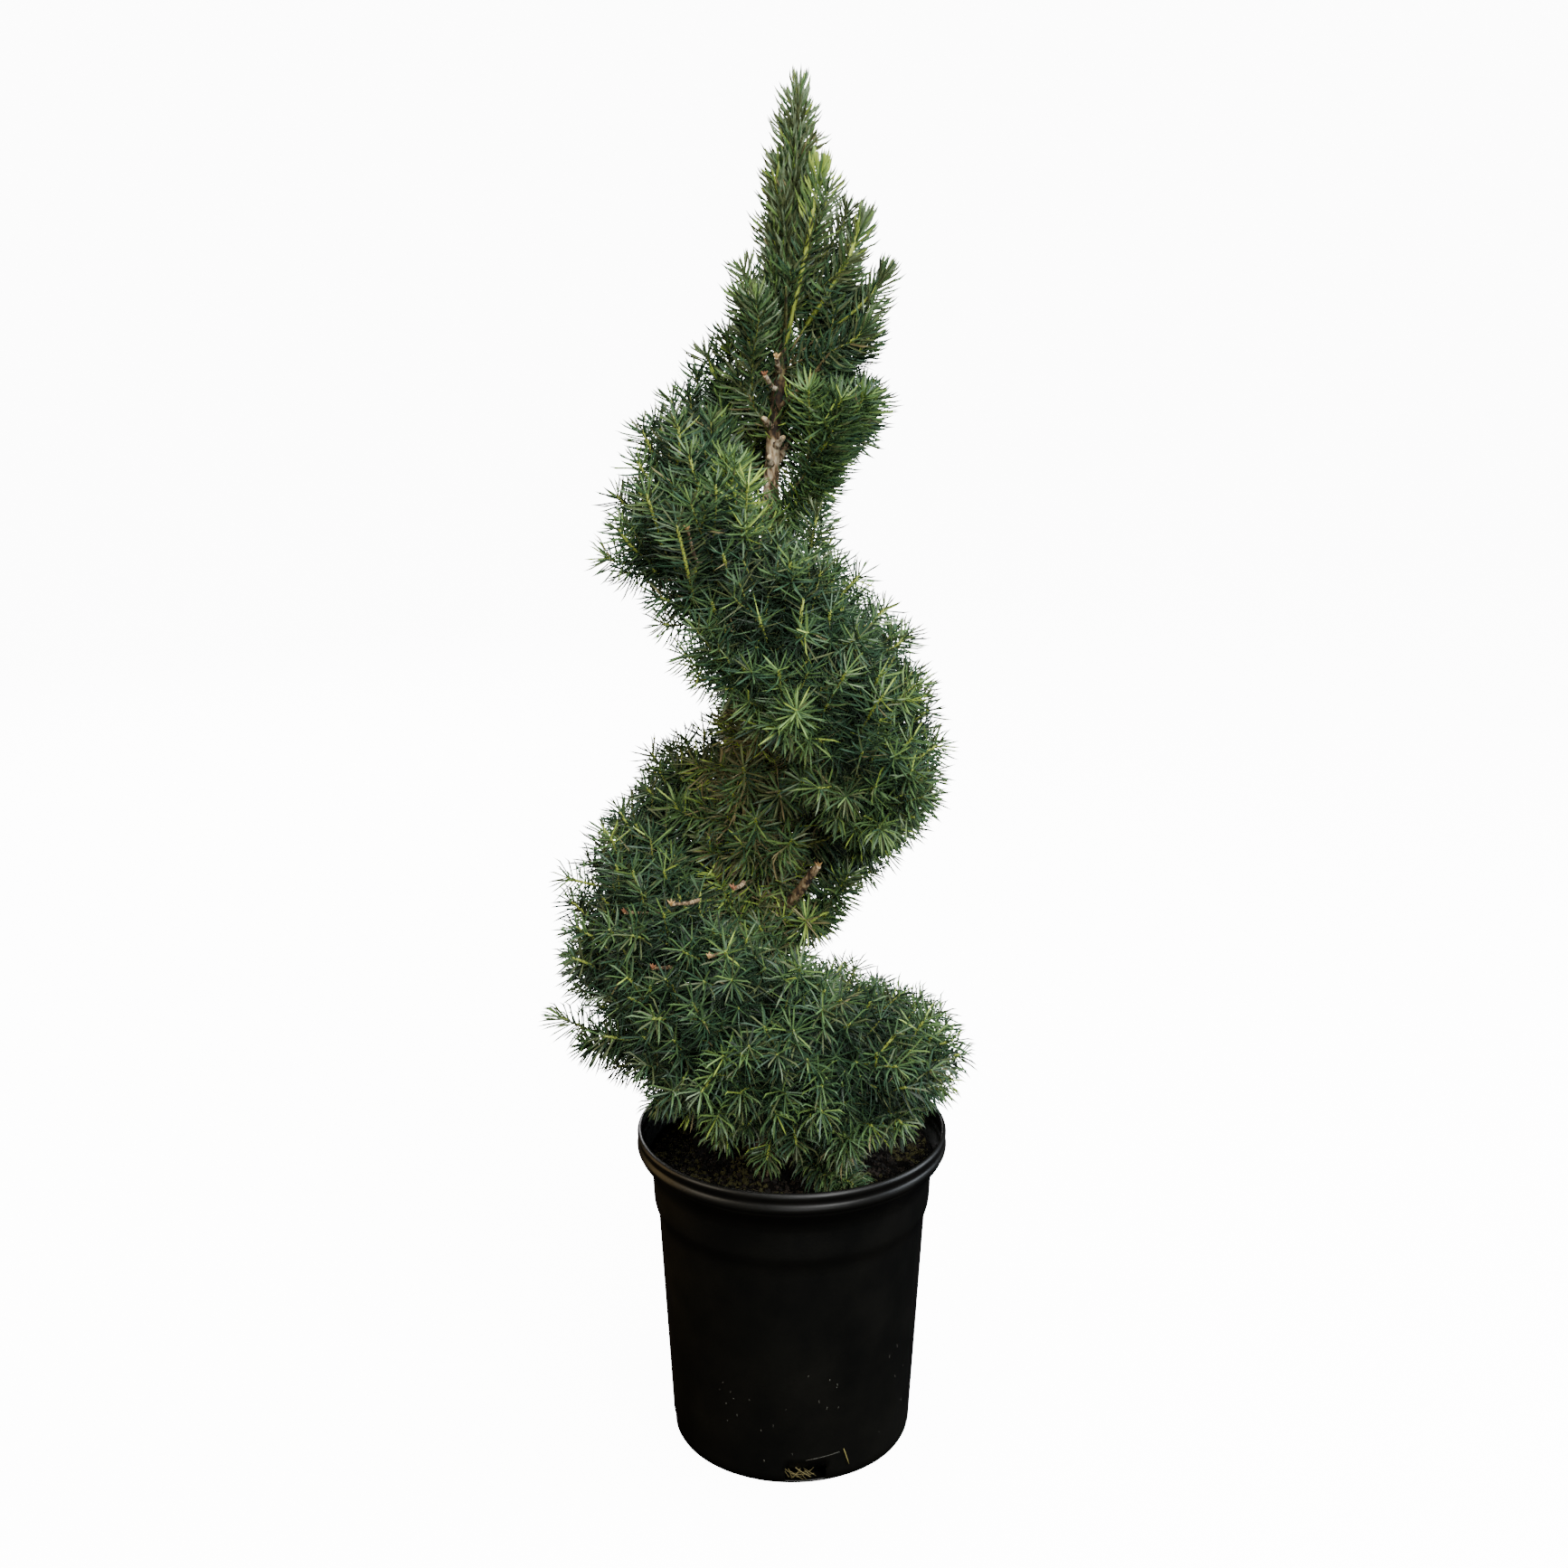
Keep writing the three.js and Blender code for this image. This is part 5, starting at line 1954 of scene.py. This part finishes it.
# ------------------------------ potting mix
@dataclass
class PottingMix:
    """The mix's uneven top, its side against the pot's wall, and loose crumbs of bark on it."""

    seed: int = 53
    columns: int = 120
    rings: int = 44
    clearance: float = 0.4 * MM
    wall: float = 1.8 * MM
    crumbs: int = 1500

    def surface(self, x: Array, y: Array, edge: float, level: float) -> Array:
        """Give the mound's height: a low dome plus clods and grains of noise, flat at the wall."""
        radius = np.hypot(x, y)
        dome = 2.5 * MM * (1 - smooth_step(radius, 0.3 * edge, edge))
        place = np.stack([x, y, np.zeros_like(x)], axis=-1)
        clods = 2.6 * MM * noise(place, 19 * MM, 3) + 1.5 * MM * noise(place, 7 * MM, 4)
        grains = 0.8 * MM * noise(place, 2.8 * MM, 8)
        return level + dome + (clods + grains) * (1 - smooth_step(radius, 0.93 * edge, edge))

    def build(self, pot: NurseryPot) -> None:
        """Build the body of the mix and its crumbs.

        Args:
            pot: The pot that holds it.
        """
        low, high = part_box("potting_soil")
        level = high.z - 2.5 * MM
        outside = pot.smooth_outside()
        gap = self.wall + self.clearance
        heights = np.linspace(21 * MM, level - 3 * MM, 24)
        radii = np.interp(heights, outside[:, 1], outside[:, 0]) - gap
        edge = float(np.interp(level, outside[:, 1], outside[:, 0]) - gap)
        bottom = np.array([[0, low.z], [0.5 * radii[0], low.z], [74 * MM, low.z], [75.5 * MM, 18 * MM]])
        side = np.stack([radii, heights], axis=1)
        top_radius = edge * np.linspace(1, 0, self.rings)
        top = np.stack([top_radius, np.full(self.rings, level)], axis=1)
        profile = np.concatenate([bottom, side, top])
        points, quads, fans = turned(profile, 2 * np.pi * np.arange(self.columns) / self.columns)
        on_top = points[:, 2] > level - 1 * MM
        points[on_top, 2] = self.surface(points[on_top, 0], points[on_top, 1], edge, level)
        parts = MeshParts()
        parts.add(points, quads, fans)
        dress(parts.build("potting_mix"), MixFinish().material(), "bark_mix", "potting_soil")
        self.scatter(edge, level)

    def scatter(self, edge: float, level: float) -> None:
        """Strew crumbs: eight-faced lumps of uneven size, half sunk in the surface.

        Args:
            edge: Radius of the mix.
            level: Its height.
        """
        random = np.random.default_rng(self.seed)
        kinds = [
            PlainFinish("mix_bark_crumbs_dark", "#0D0A07", 0.9),
            PlainFinish("mix_bark_crumbs_brown", "#1F1810", 0.85),
            PlainFinish("mix_moss_clumps", "#38361B", 0.95),
        ]
        axes = np.concatenate([np.eye(3), -np.eye(3)])
        faces = np.array(
            [[0, 1, 2], [1, 3, 2], [3, 4, 2], [4, 0, 2], [1, 0, 5], [3, 1, 5], [4, 3, 5], [0, 4, 5]]
        )
        for number, kind in enumerate(kinds):
            count = self.crumbs * (2 if number == 2 else 1)
            radius = (edge - 3 * MM) * np.sqrt(random.random(count))
            angle = 2 * np.pi * random.random(count)
            x, y = radius * np.cos(angle), radius * np.sin(angle)
            if number == 2:
                mossy = smooth_step(-x - 0.6 * y, 30 * MM, 90 * MM)
                patch = noise(np.stack([x, y, 0 * x], axis=-1), 26 * MM, 12) > 0.4 - 0.7 * mossy
                x, y = x[patch], y[patch]
            centre = np.stack([x, y, self.surface(x, y, edge, level)], axis=-1)
            size = random.uniform(0.9, 3.4, len(x)) * MM
            shape = random.uniform(0.35, 1.0, (len(x), 1, 3)) * size[:, None, None]
            turn = unit(random.normal(size=(len(x), 3, 3)))
            across = unit(turn[:, 0])
            other = unit(np.cross(across, turn[:, 1]))
            basis = np.stack([across, other, np.cross(across, other)], axis=1)
            corners = centre[:, None] + np.einsum("nkc,ncd->nkd", axes[None] * shape, basis)
            parts = MeshParts()
            parts.add(corners, faces[None] + 6 * np.arange(len(x))[:, None, None])
            make_piece(parts, kind, "bark_mix", smooth=False)


# ------------------------------ studio
@dataclass(frozen=True)
class SoftBox:
    """A studio light: a square panel that faces the middle of the plant."""

    name: str
    place: Point
    size: float
    power: float
    colour: str = "#FFFFFF"

    def hang(self) -> None:
        """Make the light, turned to the plant and itself out of the picture."""
        data = bpy.data.lights.new(self.name, "AREA")
        data.size = self.size
        data.energy = self.power
        data.color = linear(self.colour)[:3]
        light = bpy.data.objects.new(self.name, data)
        light.location = self.place
        aim = np.array([0, 0, 0.45]) - np.array(self.place)
        tilt = math.atan2(math.hypot(aim[0], aim[1]), -aim[2])
        light.rotation_euler = (tilt, 0, math.atan2(-aim[0], aim[1]))
        light.visible_camera = False
        bpy.context.scene.collection.objects.link(light)


@dataclass
class Studio:
    """A glowing opal table under a white surround, soft boxes and the camera."""

    camera_at: Point = (-0.0054, -1.348, 0.882)
    pitch: float = math.radians(16.56)
    lens_mm: float = 48.5
    sensor_mm: float = 36.0
    floor_radius: float = 14.0
    floor_sides: int = 96
    floor_glow: float = 12.0
    surround: float = 12.0
    boxes: tuple[SoftBox, ...] = (
        SoftBox("overhead_box", (0.1, -0.5, 2.3), 1.5, 74),
        SoftBox("key_box", (1.0, -1.85, 1.8), 1.1, 79),
        SoftBox("front_fill_box", (0.3, -2.5, 0.7), 1.5, 15),
        SoftBox("left_box", (-2.0, -0.9, 1.3), 1.3, 31, "#FFF2DC"),
        SoftBox("right_box", (2.0, 0.2, 1.1), 1.3, 58, "#EEF6FF"),
        SoftBox("back_box", (-0.8, 2.1, 1.3), 1.3, 48),
        SoftBox("warm_edge_box", (-1.7, 0.35, 0.35), 0.9, 7, "#FFD890"),
    )

    def camera(self) -> None:
        """Stand the camera in front and above, looking along +Y and down by the pitch."""
        data = bpy.data.cameras.new("studio_camera")
        data.lens = self.lens_mm
        data.sensor_width = self.sensor_mm
        camera = bpy.data.objects.new("studio_camera", data)
        camera.location = self.camera_at
        camera.rotation_euler = (math.pi / 2 - self.pitch, 0, 0)
        bpy.context.scene.collection.objects.link(camera)
        bpy.context.scene.camera = camera

    def floor(self) -> None:
        """Lay a round opal acrylic table top, lit from below, that throws no light on the plant."""
        count = self.floor_sides
        angles = 2 * np.pi * np.arange(count) / count
        ring = around(angles) * self.floor_radius
        here = np.arange(count)
        fan = np.stack([here, (here + 1) % count, np.full(count, count)], axis=-1)
        parts = MeshParts()
        parts.add(np.concatenate([ring, [[0, 0, 0]]]) - [0, 0, 0.3 * MM], fan)
        floor = parts.build("studio_floor")
        material, _, shader = new_material("opal_acrylic_white")
        feed(shader, Base_Color=linear("#F2F2F0"), Roughness=0.9)
        feed(shader, Emission_Color=linear("#FFFFFF"), Emission_Strength=self.floor_glow)
        floor.data.materials.append(material)
        floor.visible_diffuse = False
        floor.visible_glossy = False

    def build(self) -> None:
        """Lay the floor, set the surround and hang the lights."""
        self.floor()
        world = bpy.data.worlds.new("studio_surround")
        bpy.context.scene.world = world
        world.use_nodes = True
        background = world.node_tree.nodes["Background"]
        feed(background, Color=linear("#FFFFFF"), Strength=self.surround)
        world.cycles_visibility.diffuse = False
        world.cycles_visibility.glossy = False
        for box in self.boxes:
            box.hang()
        self.camera()


# ------------------------------ the whole
def main() -> None:
    """Build the plant, its pot and the studio, in order."""
    logging.basicConfig(level=logging.INFO, format="%(name)s: %(message)s")
    Studio().build()
    pot = NurseryPot()
    pot.build()
    PotLitter(pot).build()
    PottingMix().build(pot)
    stem = StemLine.from_node("trunk")
    limbs = Limbs(stem)
    limbs.trunk()
    bough_control = limbs.boughs()
    WoodDetails(stem).build()
    space = CrownSpace()
    growth = Growth(space, stem)
    heights = np.arange(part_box("spiral_mass_12")[0].z, stem.heights[-1], growth.step)
    centres, _ = stem.at(heights)
    growth.add_limb(centres, unit(np.gradient(centres, axis=0)), 0.0, -1)
    growth.cost[:] = 0.0
    for control in bough_control:
        points, ways = bezier(control[None], np.linspace(0.1, 1, 12)[None])
        growth.add_limb(points[0], ways[0], 0.0, -1)
    mains = growth.run()
    sides = SideShoots(space).grow(mains)
    strands = Strands.join([mains, sides])
    Twigs().build(strands)
    Needles(space, stem).build(strands)


if __name__ == "__main__":
    main()
